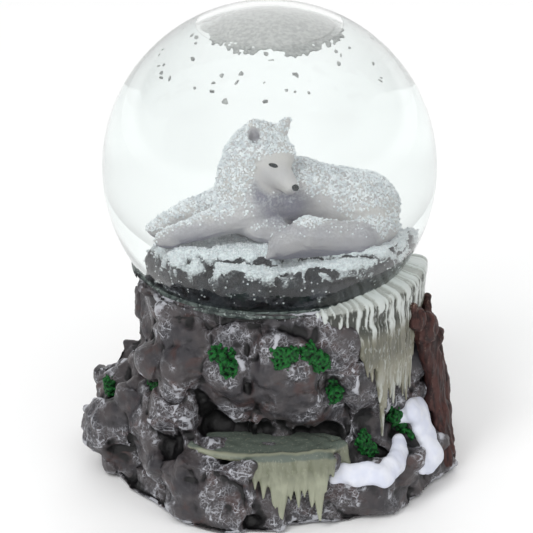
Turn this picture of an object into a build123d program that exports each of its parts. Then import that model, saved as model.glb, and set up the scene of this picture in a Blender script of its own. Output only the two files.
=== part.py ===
"""Water-filled snow globe on a rocky cast base, in millimetres.

The origin is on the resting plane, on the globe's vertical axis. +Z is up and -Y is the front.
A wolf lies on a rock ledge inside the globe. The ledge is cemented to the rubber stopper that closes
the globe's neck, and the neck stands in a well in the hollow resin base. Ice, snow, moss and a dead
tree trunk are separate pieces glued onto the base.
"""

import math
import os
from random import Random

from build123d import *

# Driving dimensions
globe_radius = 50.0
globe_centre_z = 94.0
glass_wall = 1.8
neck_outer_radius = 34.5
neck_bottom_z = 50.0
lip_radius = 36.0
lip_height = 2.2
water_level_z = 137.4
base_radius = 50.0
base_bottom_z = 0.5
rim_radius = 40.0
ledge_top_z = 78.0
snow_gap = 0.1  # clearance that the water keeps round each flake
pond_level_z = 22.0

# Worked out from the driving dimensions
inner_radius = globe_radius - glass_wall
neck_inner_radius = neck_outer_radius - glass_wall
rim_z = globe_centre_z - math.sqrt(globe_radius**2 - rim_radius**2)
neck_top_z = globe_centre_z - math.sqrt(inner_radius**2 - neck_inner_radius**2)
water_surface_radius = math.sqrt(inner_radius**2 - (water_level_z - globe_centre_z) ** 2)

# Stopper, cement and the well that holds the neck
flange_thickness = 2.5
flange_bottom_z = neck_bottom_z - flange_thickness
plug_top_z = neck_bottom_z + 8.0
plug_relief = 0.5
plug_lip_height = 2.0
spigot_radius = 6.0
spigot_length = 4.0
cement_gap = 0.6
well_radius = lip_radius + 1.4
shelf_thickness = 4.5
shelf_top_z = flange_bottom_z
shelf_bottom_z = shelf_top_z - shelf_thickness

# Bottom closure
rebate_radius = 44.0
felt_thickness = 1.0
cover_thickness = 2.0
cover_bottom_z = felt_thickness
cover_top_z = cover_bottom_z + cover_thickness
cavity_radius = 41.0
cavity_shoulder_z = 15.0
cavity_roof_radius = 27.0



def polar(azimuth, radius, height):
    """A point at an azimuth from the front, in degrees, positive towards +X."""
    turn = math.radians(azimuth)
    return Vector(radius * math.sin(turn), -radius * math.cos(turn), height)


def solid_of(shape):
    """The largest solid of a result that may hold crumbs."""
    return max(shape.solids(), key=lambda solid: solid.volume)


def ball(centre, radius):
    return Pos(*centre) * Sphere(radius)


def revolved(points):
    """A turned piece from the (radius, height) corners of its half section."""
    outline = Polyline(*[(radius, 0, height) for radius, height in points], close=True)
    return revolve(make_face(outline), Axis.Z)


def chipped_block(size, seed, chips=9):
    """A block with random flat chips knocked off its corners and edges."""
    random = Random(seed)
    width, depth, height = size
    block = Box(width, depth, height)
    for _ in range(chips):
        way = Vector(random.gauss(0, 1), random.gauss(0, 1), random.gauss(0, 1)).normalized()
        reach = (abs(way.X) * width + abs(way.Y) * depth + abs(way.Z) * height) / 2
        chip = Plane(origin=way * (reach * random.uniform(0.68, 0.88)), z_dir=way)
        block = split(block, chip, keep=Keep.BOTTOM)
    return block


def rock(azimuth, radius, height, size, roll=0, lean=0, seed=1, chips=9):
    """A chipped block that faces outwards. size is width, depth and height; roll tips its top to the
    viewer's left, and lean tips its top outwards, in degrees."""
    at = polar(azimuth, radius, height)
    stand = Location((at.X, at.Y, at.Z), (0, 0, azimuth))
    return stand * Rot(lean, -roll, 0) * chipped_block(size, seed, chips)


def limb(start, start_radius, end, end_radius):
    """A tapered limb with round ends, turned about its own centre line."""
    start, end = Vector(start), Vector(end)
    run = end - start
    length = run.length
    slope = (start_radius - end_radius) / length
    side = math.sqrt(1 - slope**2)
    low = (start_radius * side, start_radius * slope)
    high = (end_radius * side, length + end_radius * slope)
    turn = math.asin(slope) / 2
    low_mid = (start_radius * math.sin(math.pi / 4 + turn), -start_radius * math.cos(math.pi / 4 + turn))
    high_mid = (
        end_radius * math.cos(math.pi / 4 + turn),
        length + end_radius * math.sin(math.pi / 4 + turn),
    )
    with BuildSketch(Plane.XZ) as section:
        with BuildLine():
            ThreePointArc((0, -start_radius), low_mid, low)
            Line(low, high)
            ThreePointArc(high, high_mid, (0, length + end_radius))
            Line((0, length + end_radius), (0, -start_radius))
        make_face()
    form = revolve(section.sketch, Axis.Z)
    stand = Plane(origin=start, z_dir=run)
    return stand.location * form


def spike(start, start_radius, end, end_radius, sides=7):
    """A tapered many-sided stem, such as an icicle or a strand of wood."""
    run = Vector(end) - Vector(start)
    taper = math.degrees(math.atan2(start_radius - end_radius, run.length))
    stem = extrude(RegularPolygon(start_radius, sides), run.length, taper=taper)
    return Plane(origin=start, z_dir=run).location * stem


# ---------------------------------------------------------------- globe


def glass_globe():
    """The blown globe: a thin sphere with an open neck and a thicker lip."""
    outside = Pos(0, 0, globe_centre_z) * Sphere(globe_radius)
    neck_length = globe_centre_z - neck_bottom_z
    neck = Pos(0, 0, neck_bottom_z) * Cylinder(
        neck_outer_radius, neck_length, align=(Align.CENTER, Align.CENTER, Align.MIN)
    )
    lip = Pos(0, 0, neck_bottom_z) * Cylinder(
        lip_radius, lip_height, align=(Align.CENTER, Align.CENTER, Align.MIN)
    )
    lip = fillet(lip.edges().filter_by(GeomType.CIRCLE).group_by(Axis.Z)[-1], lip_height / 3)
    below = Box(200, 200, 200, align=(Align.CENTER, Align.CENTER, Align.MAX))
    outside -= Pos(0, 0, neck_top_z - glass_wall) * below
    body = outside + neck + lip
    bore = Cylinder(neck_inner_radius, neck_length, align=(Align.CENTER, Align.CENTER, Align.MIN))
    body -= Pos(0, 0, neck_bottom_z) * bore
    return body - Pos(0, 0, globe_centre_z) * Sphere(inner_radius)


def rubber_stopper():
    """The plug that closes the neck: two sealing lips, a flange under the glass and a blind socket."""
    sealing, waist = neck_inner_radius, neck_inner_radius - plug_relief
    outline = [
        (0, flange_bottom_z),
        (lip_radius, flange_bottom_z),
        (lip_radius, neck_bottom_z),
        (sealing, neck_bottom_z),
        (sealing, neck_bottom_z + plug_lip_height),
        (waist, neck_bottom_z + plug_lip_height),
        (waist, plug_top_z - plug_lip_height),
        (sealing, plug_top_z - plug_lip_height),
        (sealing, plug_top_z),
        (spigot_radius, plug_top_z),
        (spigot_radius, plug_top_z - spigot_length),
        (0, plug_top_z - spigot_length),
    ]
    return revolved(outline)


def sealant_bead():
    """The sealant wiped round the joint between the glass lip and the stopper's flange."""
    bead_height = 3.0
    middle = neck_bottom_z
    ring = Pos(0, 0, middle) * (Cylinder(lip_radius + 1.0, bead_height) - Cylinder(lip_radius, bead_height))
    return ring


def globe_cement():
    """The cement bed between the globe and its cup, with the bead that shows round the rim."""
    bead_radius = 1.3
    cup = Pos(0, 0, globe_centre_z) * Sphere(globe_radius + cement_gap)
    keep_low, keep_high = neck_top_z - 1.5, rim_z
    band = Pos(0, 0, keep_low) * Cylinder(
        2 * rim_radius, keep_high - keep_low, align=(Align.CENTER, Align.CENTER, Align.MIN)
    )
    bed = cup & band
    bead = Pos(0, 0, rim_z) * Torus(rim_radius + bead_radius / 2, bead_radius)
    bed += bead
    bed -= Pos(0, 0, neck_bottom_z) * Cylinder(
        lip_radius + 0.1, 20, align=(Align.CENTER, Align.CENTER, Align.MIN)
    )
    return solid_of(bed - Pos(0, 0, globe_centre_z) * Sphere(globe_radius))


# ---------------------------------------------------------------- figure


def ledge_rock():
    """The cast rock inside the globe: a waist on the stopper and an overhanging ledge."""
    body = Pos(1, 0, plug_top_z) * Box(42, 30, 12, align=(Align.CENTER, Align.CENTER, Align.MIN))
    slab_z = ledge_top_z - 4.5
    blocks = [
        Pos(3.6, -3, slab_z) * chipped_block((52, 31, 9), 3, 6),
        Pos(-18.5, -7, 72.5) * Rot(0, 6, 10) * chipped_block((14, 16, 11), 5),
        Pos(-17, -8, 66) * Rot(0, -12, 0) * chipped_block((14, 13, 16), 11),
        Pos(-6, -13, 67) * Rot(0, 6, -6) * chipped_block((15, 12, 15), 12),
        Pos(6, -15, 69) * Rot(0, -10, 4) * chipped_block((17, 10, 12), 7),
        Pos(17, -12, 70) * Rot(0, -6, 12) * chipped_block((17, 13, 12), 8),
        Pos(25, -3, 71) * Rot(0, -16, 0) * chipped_block((13, 18, 11), 9),
        Pos(12, -10, 63) * Rot(0, 10, 0) * chipped_block((22, 14, 10), 14),
        Pos(-14, 8, 66) * Rot(0, -8, 0) * chipped_block((18, 14, 16), 15),
        Pos(4, 11, 67) * Rot(0, 5, 5) * chipped_block((20, 12, 15), 16),
        Pos(19, 8, 68) * Rot(0, -8, -8) * chipped_block((18, 13, 13), 17),
        Pos(0, -6, 61) * chipped_block((40, 26, 8), 18),
    ]
    body = body.fuse(*[part for block in blocks for part in block.solids()])
    reach = Pos(0, 0, plug_top_z) * Cylinder(
        neck_inner_radius - 0.6, 40, align=(Align.CENTER, Align.CENTER, Align.MIN)
    )
    spigot = Pos(0, 0, plug_top_z - spigot_length) * Cylinder(
        spigot_radius, spigot_length, align=(Align.CENTER, Align.CENTER, Align.MIN)
    )
    return solid_of((body & reach) + spigot)


def wolf_figure(ledge):
    """The lying wolf: one casting, cemented to the ledge, with its tail curled round its front."""
    limbs = [
        limb((-5, -3, 85), 7.5, (4, 1.5, 88), 7.6),
        limb((4, 1.5, 87), 7.8, (20, 2.5, 83.5), 7.4),
        limb((18, -3, 83), 7.0, (21.5, -1, 82), 7.2),
        limb((-5, -3, 87), 7.4, (-3.2, -4, 96.5), 6.4),
        limb((-1.5, -5, 98.5), 6.0, (0.5, -6.5, 97), 5.4),
        limb((1, -7.5, 96.6), 4.3, (4.6, -10.8, 92.2), 2.2),
        limb((-4, -6.5, 85), 4.6, (-16, -9.5, 81.5), 3.0),
        limb((-16, -9.5, 81.5), 3.0, (-24, -10.5, 79.6), 2.6),
        limb((-6, -1, 86), 4.8, (-17, -2.6, 83.2), 3.0),
        limb((-17, -2.6, 83.2), 3.0, (-24.3, -3.6, 80.6), 2.6),
        limb((25, -4, 80.0), 3.4, (20, -12, 79.8), 4.2),
        limb((20, -12, 79.8), 4.2, (9, -14.8, 81.0), 4.9),
        limb((9, -14.8, 81.0), 4.9, (3.0, -16.0, 79.8), 3.4),
        limb((3.0, -16.0, 79.8), 3.4, (-0.4, -17.6, 77.8), 0.7),
        limb((10, -7, 80.5), 3.4, (-2.6, -11.4, 80.0), 2.7),
        limb((-4.0, -4.6, 102), 2.1, (-4.4, -4.8, 105.0), 0.6),
        limb((2.4, -3.6, 102.2), 2.1, (4.3, -3.4, 106.2), 0.5),
    ]
    body = limbs[0]
    for piece in limbs[1:]:
        body += piece
    return solid_of(body - ledge)


# ---------------------------------------------------------------- base


def pond_alcove():
    """The hollow above the pond, cut back into the cliff."""
    roof = 9.0
    return rock(-2, 49, pond_level_z + roof / 2, (44, 30, roof), chips=0)


def rim_rocks():
    """The thin rocks that hug the globe, under the rim."""
    return [
        rock(-61, 38.0, 56.0, (17, 9, 20), roll=4, seed=31),
        rock(-41, 39.8, 54.0, (15, 9, 14), roll=-18, lean=6, seed=32),
        rock(-33, 38.2, 59.5, (17, 8, 8), seed=30, chips=6),
        rock(-22, 39.6, 56.0, (12, 8, 13), roll=8, seed=33),
        rock(-9, 38.4, 57.5, (16, 8, 11), seed=34, chips=6),
        rock(9, 38.6, 59.0, (20, 8, 9), seed=47, chips=6),
        rock(25, 38.6, 58.0, (14, 8, 10), seed=42),
        rock(44, 38.4, 56.5, (20, 8, 14), seed=48),
        rock(66, 38.4, 56.0, (18, 8, 15), seed=49),
        rock(87, 38.2, 55.5, (16, 8, 15), seed=50),
    ]


def cliff_rocks():
    """The boulders half way up the front and sides."""
    return [
        rock(-70, 39.6, 43, (18, 9, 24), seed=35),
        ball(polar(-46, 40.4, 43.5), 7.0),
        rock(-33, 42.0, 40.5, (10, 9, 23), roll=-9, seed=37),
        rock(-20.5, 42.0, 45.5, (12, 9, 16), roll=4, seed=38),
        rock(-10, 37.6, 44, (10, 9, 26), roll=3, seed=39),
        rock(8, 41.2, 50.5, (18, 10, 19), roll=4, seed=40),
        rock(23, 40.8, 50.5, (11, 9, 16), roll=-5, seed=41),
        rock(9, 40.4, 35.5, (24, 10, 8), roll=13, seed=43),
        rock(-13, 40.0, 34.5, (15, 10, 13), roll=-6, seed=44),
        rock(30, 41.0, 28.5, (17, 11, 19), roll=-6, seed=45, chips=12),
        rock(38, 41.8, 38.5, (12, 9, 15), roll=4, seed=46),
        rock(52, 41.0, 39, (15, 9, 32), seed=57),
        rock(66, 42.0, 36, (14, 10, 32), roll=-3, seed=58),
        rock(80, 41.5, 36, (15, 10, 32), seed=59),
        rock(-75, 43.6, 29.5, (13, 12, 20), seed=54, chips=14),
        rock(-56, 44.0, 26.5, (18, 12, 15), roll=-16, seed=52),
        rock(-35, 42.0, 27.0, (15, 12, 14), seed=53),
    ]


def foot_rocks():
    """The boulders along the ground at the front and sides."""
    return [
        rock(-74, 50.2, 12.0, (17, 17, 22), seed=55, chips=16),
        rock(-63, 46.5, 12, (10, 11, 20), roll=-8, seed=56),
        rock(-54, 43.5, 13, (17, 12, 18), seed=71),
        rock(-44, 46.8, 12.5, (6, 8, 12), roll=-7, seed=62),
        rock(-62, 48.0, 4.5, (17, 13, 11), seed=64),
        rock(-47, 48.3, 3.0, (16, 13, 11), seed=63),
        rock(-34, 49.0, 9.0, (12, 13, 19), seed=72),
        rock(-19, 48.4, 11.0, (26, 14, 21.5), seed=61, chips=7),
        rock(-4, 46.5, 9.0, (14, 13, 19), seed=60),
        rock(11, 43.6, 10.5, (20, 12, 21), seed=65, chips=6),
        rock(20.5, 46.6, 16.5, (5, 6, 9), seed=73),
        rock(28, 45.4, 7.6, (15, 13, 15), seed=66),
        rock(45, 47.6, 7.6, (17, 13, 15), seed=67),
        rock(51, 45.4, 13.0, (11, 9, 9), seed=74),
        rock(61, 48.6, 6.2, (15, 14, 12), seed=68),
        rock(77, 49.4, 8.0, (16, 13, 16), seed=69),
        rock(69, 45.6, 19.5, (14, 10, 17), seed=75),
    ]


def back_rocks():
    """Three tiers of boulders round the back."""
    tiers = [
        (55.5, 38.2, (17, 8, 15), 17.0, 104.0),
        (37.0, 41.2, (19, 11, 26), 20.0, 98.0),
        (13.0, 46.8, (20, 14, 27), 20.0, 93.0),
    ]
    random = Random(8)
    rocks = []
    for height, radius, (width, depth, tall), step, first in tiers:
        azimuth = first
        while azimuth < 277:
            size = (
                width * random.uniform(0.9, 1.2),
                depth * random.uniform(0.95, 1.1),
                tall * random.uniform(0.9, 1.1),
            )
            place = (azimuth, radius + random.uniform(-0.8, 0.8), height + random.uniform(-1.0, 1.0))
            roll, lean = random.uniform(-12, 12), random.uniform(-3, 5)
            rocks.append(rock(*place, size, roll=roll, lean=lean, seed=random.randrange(1000)))
            azimuth += step
    return rocks


def cliff_core():
    """The faceted core that the boulders stand on, with the pond's alcove cut into it."""
    upper_foot_z = 34.0
    lower = Pos(0, 0, base_bottom_z) * extrude(RegularPolygon(44.5, 16), upper_foot_z - base_bottom_z)
    upper = Pos(0, 0, upper_foot_z) * extrude(RegularPolygon(42.0, 16), rim_z - 0.4 - upper_foot_z)
    footing = Pos(0, 0, base_bottom_z) * extrude(RegularPolygon(47.0, 14), pond_level_z - base_bottom_z)
    side_foot = Pos(0, 0, base_bottom_z) * extrude(RegularPolygon(50.0, 18), 11.0)
    return (lower + upper) - pond_alcove() + footing + side_foot


def base_casting():
    """The hollow cast base: a rocky cliff with a cup and a well for the globe, and a hollow below."""
    upright = (Align.CENTER, Align.CENTER, Align.MIN)
    rocks = rim_rocks() + cliff_rocks() + foot_rocks() + back_rocks()
    body = cliff_core().fuse(*[solid for each in rocks for solid in each.solids()])
    if isinstance(body, ShapeList):
        body = Compound(body)
    body -= Pos(0, 0, base_bottom_z) * Box(300, 300, 100, align=(Align.CENTER, Align.CENTER, Align.MAX))
    body -= Pos(0, 0, pond_level_z) * pond_outline_block(6.0)
    body -= Pos(0, 0, globe_centre_z) * Sphere(globe_radius + cement_gap)
    body -= Pos(0, 0, shelf_top_z) * Cylinder(well_radius, 60, align=upright)
    hollow = revolved(
        [
            (0, base_bottom_z),
            (rebate_radius, base_bottom_z),
            (rebate_radius, cover_top_z),
            (cavity_radius, cover_top_z),
            (cavity_radius, cavity_shoulder_z),
            (cavity_roof_radius, cavity_shoulder_z + 3),
            (cavity_roof_radius, shelf_bottom_z),
            (0, shelf_bottom_z),
        ]
    )
    return solid_of(body - hollow)


def skin_radius(base, azimuth, height):
    """How far from the axis the rock's outside is, at an azimuth and a height."""
    inside, outward = polar(azimuth, 30, height), polar(azimuth, 1, 0)
    hits = base.find_intersection_points(Axis(inside, outward))
    return max(point.dot(outward) for point, _ in hits)


def pond_outline_block(height):
    """The pond's outline, extruded upwards from z = 0."""
    corners = [
        polar(-31, 43.0, 0),
        polar(-29, 48.5, 0),
        polar(-18, 50.5, 0),
        polar(-4, 50.0, 0),
        polar(10, 49.5, 0),
        polar(22, 49.0, 0),
        polar(28, 46.0, 0),
        polar(25, 40.0, 0),
        polar(8, 35.5, 0),
        polar(-12, 35.5, 0),
        polar(-26, 39.0, 0),
    ]
    edge = Polyline(*[(corner.X, corner.Y) for corner in corners], close=True)
    return extrude(make_face(edge), height)


def pond_ice(base):
    """The frozen pond, with the sheet of ice and the icicles that run over its edge."""
    pond = Pos(0, 0, pond_level_z) * pond_outline_block(1.2)
    sheet_top, sheet_foot, start, end = pond_level_z + 0.9, 13.0, -4.0, 16.0
    width = 18.0
    sheet = rock((start + end) / 2, 49.4, (sheet_top + sheet_foot) / 2, (width, 5.0, sheet_top - sheet_foot), chips=0)
    pond += sheet
    drops = [
        (-1.5, 17.0, 9.0, 1.8),
        (2.5, 17.0, 2.6, 2.4),
        (6.5, 17.0, 9.5, 2.0),
        (10.5, 17.0, 9.5, 2.0),
        (14.5, 17.0, 3.4, 2.4),
    ]
    for azimuth, root_z, tip_z, thick in drops:
        pond += spike(polar(azimuth, 50.6, root_z), thick, polar(azimuth, 51.9, tip_z), 0.5)
    pond += spike(polar(25.0, 47.6, pond_level_z + 1.0), 2.1, polar(25.5, 48.6, 14.5), 0.9)
    return solid_of(pond - base)


def ice_curtain(base, cement):
    """The ice that spills over the right of the rim, and its long icicles."""
    start, end = 20.0, 84.0
    section = [
        (rim_radius + 0.6, rim_z + 0.6),
        (42.6, rim_z + 2.2),
        (46.0, rim_z + 0.4),
        (47.6, rim_z - 4.0),
        (47.0, rim_z - 12.0),
        (38.0, rim_z - 12.0),
    ]
    face = make_face(Polyline(*[(radius, 0, height) for radius, height in section], close=True))
    sheet = Rot(0, 0, start - 90) * revolve(face, Axis.Z, end - start)
    slant = Plane(origin=polar(24, 44, rim_z - 2.0), x_dir=polar(114, 1, 0), z_dir=polar(294, 0.30, -1.0))
    sheet = split(sheet, slant, keep=Keep.BOTTOM)
    fall = [(44.0, 56.0), (47.6, 56.0), (48.0, 44.0), (44.5, 44.0)]
    face = make_face(Polyline(*[(radius, 0, height) for radius, height in fall], close=True))
    sheet += Rot(0, 0, 37.0 - 90) * revolve(face, Axis.Z, 26.0)
    drops = [
        (39.0, 50.0, 41.0, 1.9),
        (44.5, 50.0, 22.5, 2.5),
        (49.5, 50.0, 31.0, 2.3),
        (54.5, 50.0, 33.5, 2.1),
        (60.0, 50.0, 29.0, 2.7),
    ]
    for azimuth, root_z, tip_z, thick in drops:
        sheet += spike(polar(azimuth, 46.6, root_z), thick, polar(azimuth, 48.4, tip_z), 0.5)
    sheet -= base
    sheet -= cement
    return solid_of(sheet - Pos(0, 0, globe_centre_z) * Sphere(globe_radius + 0.2))


def drift(base, places, others):
    """Modelled snow: low domes from (azimuth, radius, height, ball radius), trimmed to the rock."""
    domes = [ball(polar(*place[:3]), place[3]) for place in places]
    snow = domes[0]
    for dome in domes[1:]:
        snow += dome
    snow -= base
    for other in others:
        snow -= other
    return solid_of(snow)


snow_places = {
    "snow_patch_front": [
        (22, 50.0, 14.6, 2.8),
        (26, 49.6, 15.6, 3.0),
        (30, 49.4, 14.6, 3.0),
        (34, 49.4, 13.4, 3.0),
        (38, 49.6, 13.2, 3.2),
        (43, 49.6, 14.4, 3.4),
        (48, 48.6, 16.6, 3.6),
        (52, 47.6, 17.2, 3.4),
    ],
    "snow_patch_right": [
        (68, 49.2, 24.0, 5.0),
        (71, 50.2, 16.5, 5.2),
        (64, 50.4, 12.0, 3.8),
        (60, 51.0, 10.6, 3.0),
    ],
}


def tree_trunk(base, curtain):
    """The dead trunk that leans on the right-hand rocks, with a knot near its top."""
    knot_z, foot_z = 44.5, -1.0
    stem = spike(polar(80, 46.6, 54.5), 2.6, polar(81, 48.8, knot_z - 2), 4.2)
    stem += spike(polar(81, 48.8, knot_z), 3.6, polar(84, 52.0, 20.0), 3.0)
    stem += spike(polar(84, 51.6, 24.0), 3.0, polar(84, 53.4, foot_z), 4.0)
    stem += spike(polar(75, 46.8, 49.0), 2.2, polar(78, 50.4, 32.0), 2.6)
    stem += spike(polar(78, 50.0, 34.0), 2.5, polar(80, 53.2, foot_z), 3.6)
    stem += spike(polar(88, 47.4, 47.0), 2.2, polar(90, 53.2, foot_z), 3.8)
    stem += rock(80, 49.6, knot_z - 1, (8.5, 7.0, 8.5), seed=81, chips=14)
    stem -= Pos(0, 0, base_bottom_z) * Box(300, 300, 100, align=(Align.CENTER, Align.CENTER, Align.MAX))
    return solid_of(stem - base - curtain)


moss_places = {
    "moss_rim_left": [(-18.5, 54.5), (-15.5, 53.0), (-13.5, 50.0), (-12.0, 47.5)],
    "moss_cliff_centre": [(3.0, 55.0), (7.0, 54.5), (4.5, 52.0)],
    "moss_cliff_right": [(13.5, 55.0), (16.5, 52.0), (19.0, 49.5)],
    "moss_cliff_low": [(29.0, 43.0), (27.0, 40.5), (25.0, 38.0)],
    "moss_left_ledge": [(-52, 36.0), (-48, 35.0), (-44, 34.5)],
    "moss_far_left": [(-79, 26.0), (-77, 23.5)],
    "moss_pond_side": [(36.5, 22.5), (38, 19.0), (39, 16.5)],
    "moss_snow_side": [(53.4, 25.9), (56.3, 22.6), (58.9, 19.1), (60.9, 15.7)],
    "moss_back": [(160, 44.0), (165, 41.5), (169, 43.0)],
    "moss_back_low": [(222, 26.0), (226, 23.5)],
}
moss_bud = 5.2


def moss(base, places, others):
    """A tuft of moss: chipped buds half sunk into the rock's skin."""
    tuft = None
    for number, (azimuth, height) in enumerate(places):
        radius = skin_radius(base, azimuth, height) + 0.2
        bud = rock(azimuth, radius, height, (moss_bud, moss_bud, moss_bud), seed=number, chips=12)
        tuft = bud if tuft is None else tuft + bud
    tuft -= base
    for other in others:
        tuft -= other
    return solid_of(tuft)


def base_cover():
    upright = (Align.CENTER, Align.CENTER, Align.MIN)
    return Pos(0, 0, cover_bottom_z) * Cylinder(rebate_radius - 0.3, cover_thickness, align=upright)


def felt_pad():
    upright = (Align.CENTER, Align.CENTER, Align.MIN)
    return Cylinder(rebate_radius - 0.4, felt_thickness, align=upright)


# ---------------------------------------------------------------- liquid and snow


def snow_raft(margin=0.0):
    """The raft of snow that floats on the water: a thin sheet with a ragged edge."""
    random = Random(4)
    corners = []
    count = 40
    offset = 1.8
    for step in range(count):
        azimuth = 360 / count * step
        reach = (water_surface_radius - 0.5 - offset) * random.uniform(0.9, 1.0)
        if 270 < azimuth < 345:
            reach *= 0.9
        corners.append(polar(azimuth, reach + margin, 0) + Vector(offset, 0, 0))
    edge = Polyline(*[(corner.X, corner.Y) for corner in corners], close=True)
    return Pos(0, 0, water_level_z - 0.7 - margin) * extrude(make_face(edge), 1.2 + 2 * margin)


def loose_flakes(margin=0.0):
    """Flakes adrift just under the water's surface, each a small chip."""
    random = Random(12)
    flakes = []
    for number in range(44):
        depth = random.uniform(2.0, 12.5)
        height = water_level_z - depth
        most = math.sqrt(inner_radius**2 - (height - globe_centre_z) ** 2) - 2.2
        reach = most * random.uniform(0.86, 1.0)
        azimuth = random.uniform(-75, 75) if number % 4 else random.uniform(75, 285)
        width, depth = random.uniform(0.8, 1.6), random.uniform(0.7, 1.3)
        chip = Box(width + 2 * margin, depth + 2 * margin, 0.35 + 2 * margin)
        at = polar(azimuth, reach, height)
        turn = (random.uniform(0, 90), random.uniform(0, 90), random.uniform(0, 180))
        flakes.append(Location((at.X, at.Y, at.Z), turn) * chip)
    return Compound(children=flakes)


def water_fill(figure_parts):
    """The liquid: it fills the globe and the neck, up to the small air space at the top."""
    upright = (Align.CENTER, Align.CENTER, Align.MIN)
    body = Pos(0, 0, globe_centre_z) * Sphere(inner_radius)
    body -= Pos(0, 0, water_level_z) * Box(200, 200, 100, align=upright)
    body -= Pos(0, 0, neck_top_z) * Box(200, 200, 200, align=(Align.CENTER, Align.CENTER, Align.MAX))
    body += Pos(0, 0, plug_top_z) * Cylinder(neck_inner_radius, neck_top_z - plug_top_z, align=upright)
    for piece in figure_parts:
        body -= piece
    body -= snow_raft(snow_gap)
    body -= loose_flakes(snow_gap)
    return solid_of(body)


def write(name, shape):
    export_step(shape, f"parts/{name}.step")


def main():
    os.makedirs("parts", exist_ok=True)
    base = base_casting()
    cement = solid_of(globe_cement() - base)
    ledge = ledge_rock()
    wolf = wolf_figure(ledge)
    raft, flakes = snow_raft(), loose_flakes()
    pond = pond_ice(base)
    curtain = ice_curtain(base, cement)
    trunk = tree_trunk(base, curtain)
    write("base_casting", base)
    write("globe_cement", cement)
    write("glass_globe", glass_globe())
    write("rubber_stopper", rubber_stopper())
    write("sealant_bead", sealant_bead())
    write("ledge_rock", ledge)
    write("wolf_figure", wolf)
    write("snow_raft", raft)
    write("loose_flakes", flakes)
    write("water_fill", water_fill([ledge, wolf]))
    write("pond_ice", pond)
    write("ice_curtain", curtain)
    write("tree_trunk", trunk)
    write("base_cover", base_cover())
    write("felt_pad", felt_pad())
    glued = [pond, curtain, trunk]
    for name, places in moss_places.items():
        tuft = moss(base, places, glued)
        write(name, tuft)
        glued.append(tuft)
    for name, places in snow_places.items():
        snow = drift(base, places, glued)
        write(name, snow)
        glued.append(snow)


main()
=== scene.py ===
"""Looks for the snow globe: sculpted rock, ice, snow, moss, a frosted wolf and real globe optics.

Working lengths are millimetres in the row frame; meshes are scaled to metres when they are made.
"""

import itertools
import math
import random

import bmesh
import bpy
import numpy as np
from mathutils import Euler, Matrix, Vector
from mathutils.bvhtree import BVHTree


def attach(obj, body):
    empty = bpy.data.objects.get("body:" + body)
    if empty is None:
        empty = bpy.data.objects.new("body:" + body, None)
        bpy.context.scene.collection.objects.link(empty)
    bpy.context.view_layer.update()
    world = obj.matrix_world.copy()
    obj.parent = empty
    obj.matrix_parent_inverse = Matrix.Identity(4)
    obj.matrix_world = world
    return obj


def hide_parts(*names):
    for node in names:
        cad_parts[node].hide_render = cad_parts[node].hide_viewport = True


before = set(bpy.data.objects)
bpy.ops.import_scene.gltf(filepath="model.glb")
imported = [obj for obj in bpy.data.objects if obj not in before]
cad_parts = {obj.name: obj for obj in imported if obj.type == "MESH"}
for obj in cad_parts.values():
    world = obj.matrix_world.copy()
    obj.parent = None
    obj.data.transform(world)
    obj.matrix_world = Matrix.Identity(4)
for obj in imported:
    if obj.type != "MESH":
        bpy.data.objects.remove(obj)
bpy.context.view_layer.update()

MM = 0.001
ROOT = "globe_and_base"
SNOW = "snow"

# Dimensions shared with the CAD model, in mm
GLOBE_Z = 94.0
GLOBE_R = 50.0
INNER_R = 48.2
NECK_R = 34.5
NECK_IN_R = 32.7
NECK_FOOT_Z = 50.0
LIP_R = 36.0
PLUG_TOP_Z = 58.0
WATER_Z = 137.4
RIM_Z = 64.0
POND_Z = 22.0

FIELD_STEP = 0.36  # the grid on which ice, snow and wood are modelled, in mm
STREWN_R = 18.2  # where the raft's ragged edge starts
HEAP_R = 18.6
RAFT_GAP = 0.7  # how far the snow stays from the glass
WATER_IOR, GLASS_IOR = 1.333, 1.5
ON_FLOOR = 0.7  # the lowest that the trunk's bark reaches

# Studio: how bright the sky is above and behind, and at the sides
SKY = 1.08
SIDE_WALLS = 0.15


# ------------------------------------------------------------------ noise

WORD = 0xFFFFFFFF  # keeps the mixing below within 32 bits


def hashed(cell, seed):
    """One random number in 0..1 for each whole-number cell."""
    c = cell.astype(np.int64)
    h = c[..., 0] * 374761393 + c[..., 1] * 668265263 + c[..., 2] * 1440662683 + seed * 974634777
    h = h & WORD
    h = ((h ^ (h >> 13)) * 1274126177) & WORD
    h = ((h ^ (h >> 15)) * 2246822519) & WORD
    return (h ^ (h >> 16)).astype(float) / (WORD + 1.0)


def noise(points, size, seed=0):
    """Smooth noise in 0..1, with features about size across."""
    p = points / size
    cell = np.floor(p)
    f = p - cell
    f = f * f * f * (f * (f * 6 - 15) + 10)
    total = 0.0
    for i, j, k in itertools.product((0, 1), repeat=3):
        weight = 1.0
        for axis, side in enumerate((i, j, k)):
            weight = weight * (f[..., axis] if side else 1 - f[..., axis])
        total = total + weight * hashed(cell + (i, j, k), seed)
    return total


def sway(points, size, seed):
    """Smooth noise in -0.5..0.5 along each axis, for bending a form."""
    return np.stack([noise(points, size, seed + axis) - 0.5 for axis in range(3)], axis=1)


def layered(points, size, seed=0, octaves=3):
    total, amount, norm = 0.0, 1.0, 0.0
    for octave in range(octaves):
        total = total + amount * noise(points, size / 2**octave, seed + octave)
        norm += amount
        amount *= 0.5
    return total / norm


def ridges(points, size, seed=0, octaves=2):
    """1 along thin crests, falling to 0 between them."""
    total, amount, norm = 0.0, 1.0, 0.0
    for octave in range(octaves):
        crest = 1 - np.abs(2 * noise(points, size / 2**octave, seed + octave) - 1)
        total = total + amount * crest**2
        norm += amount
        amount *= 0.5
    return total / norm


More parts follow.
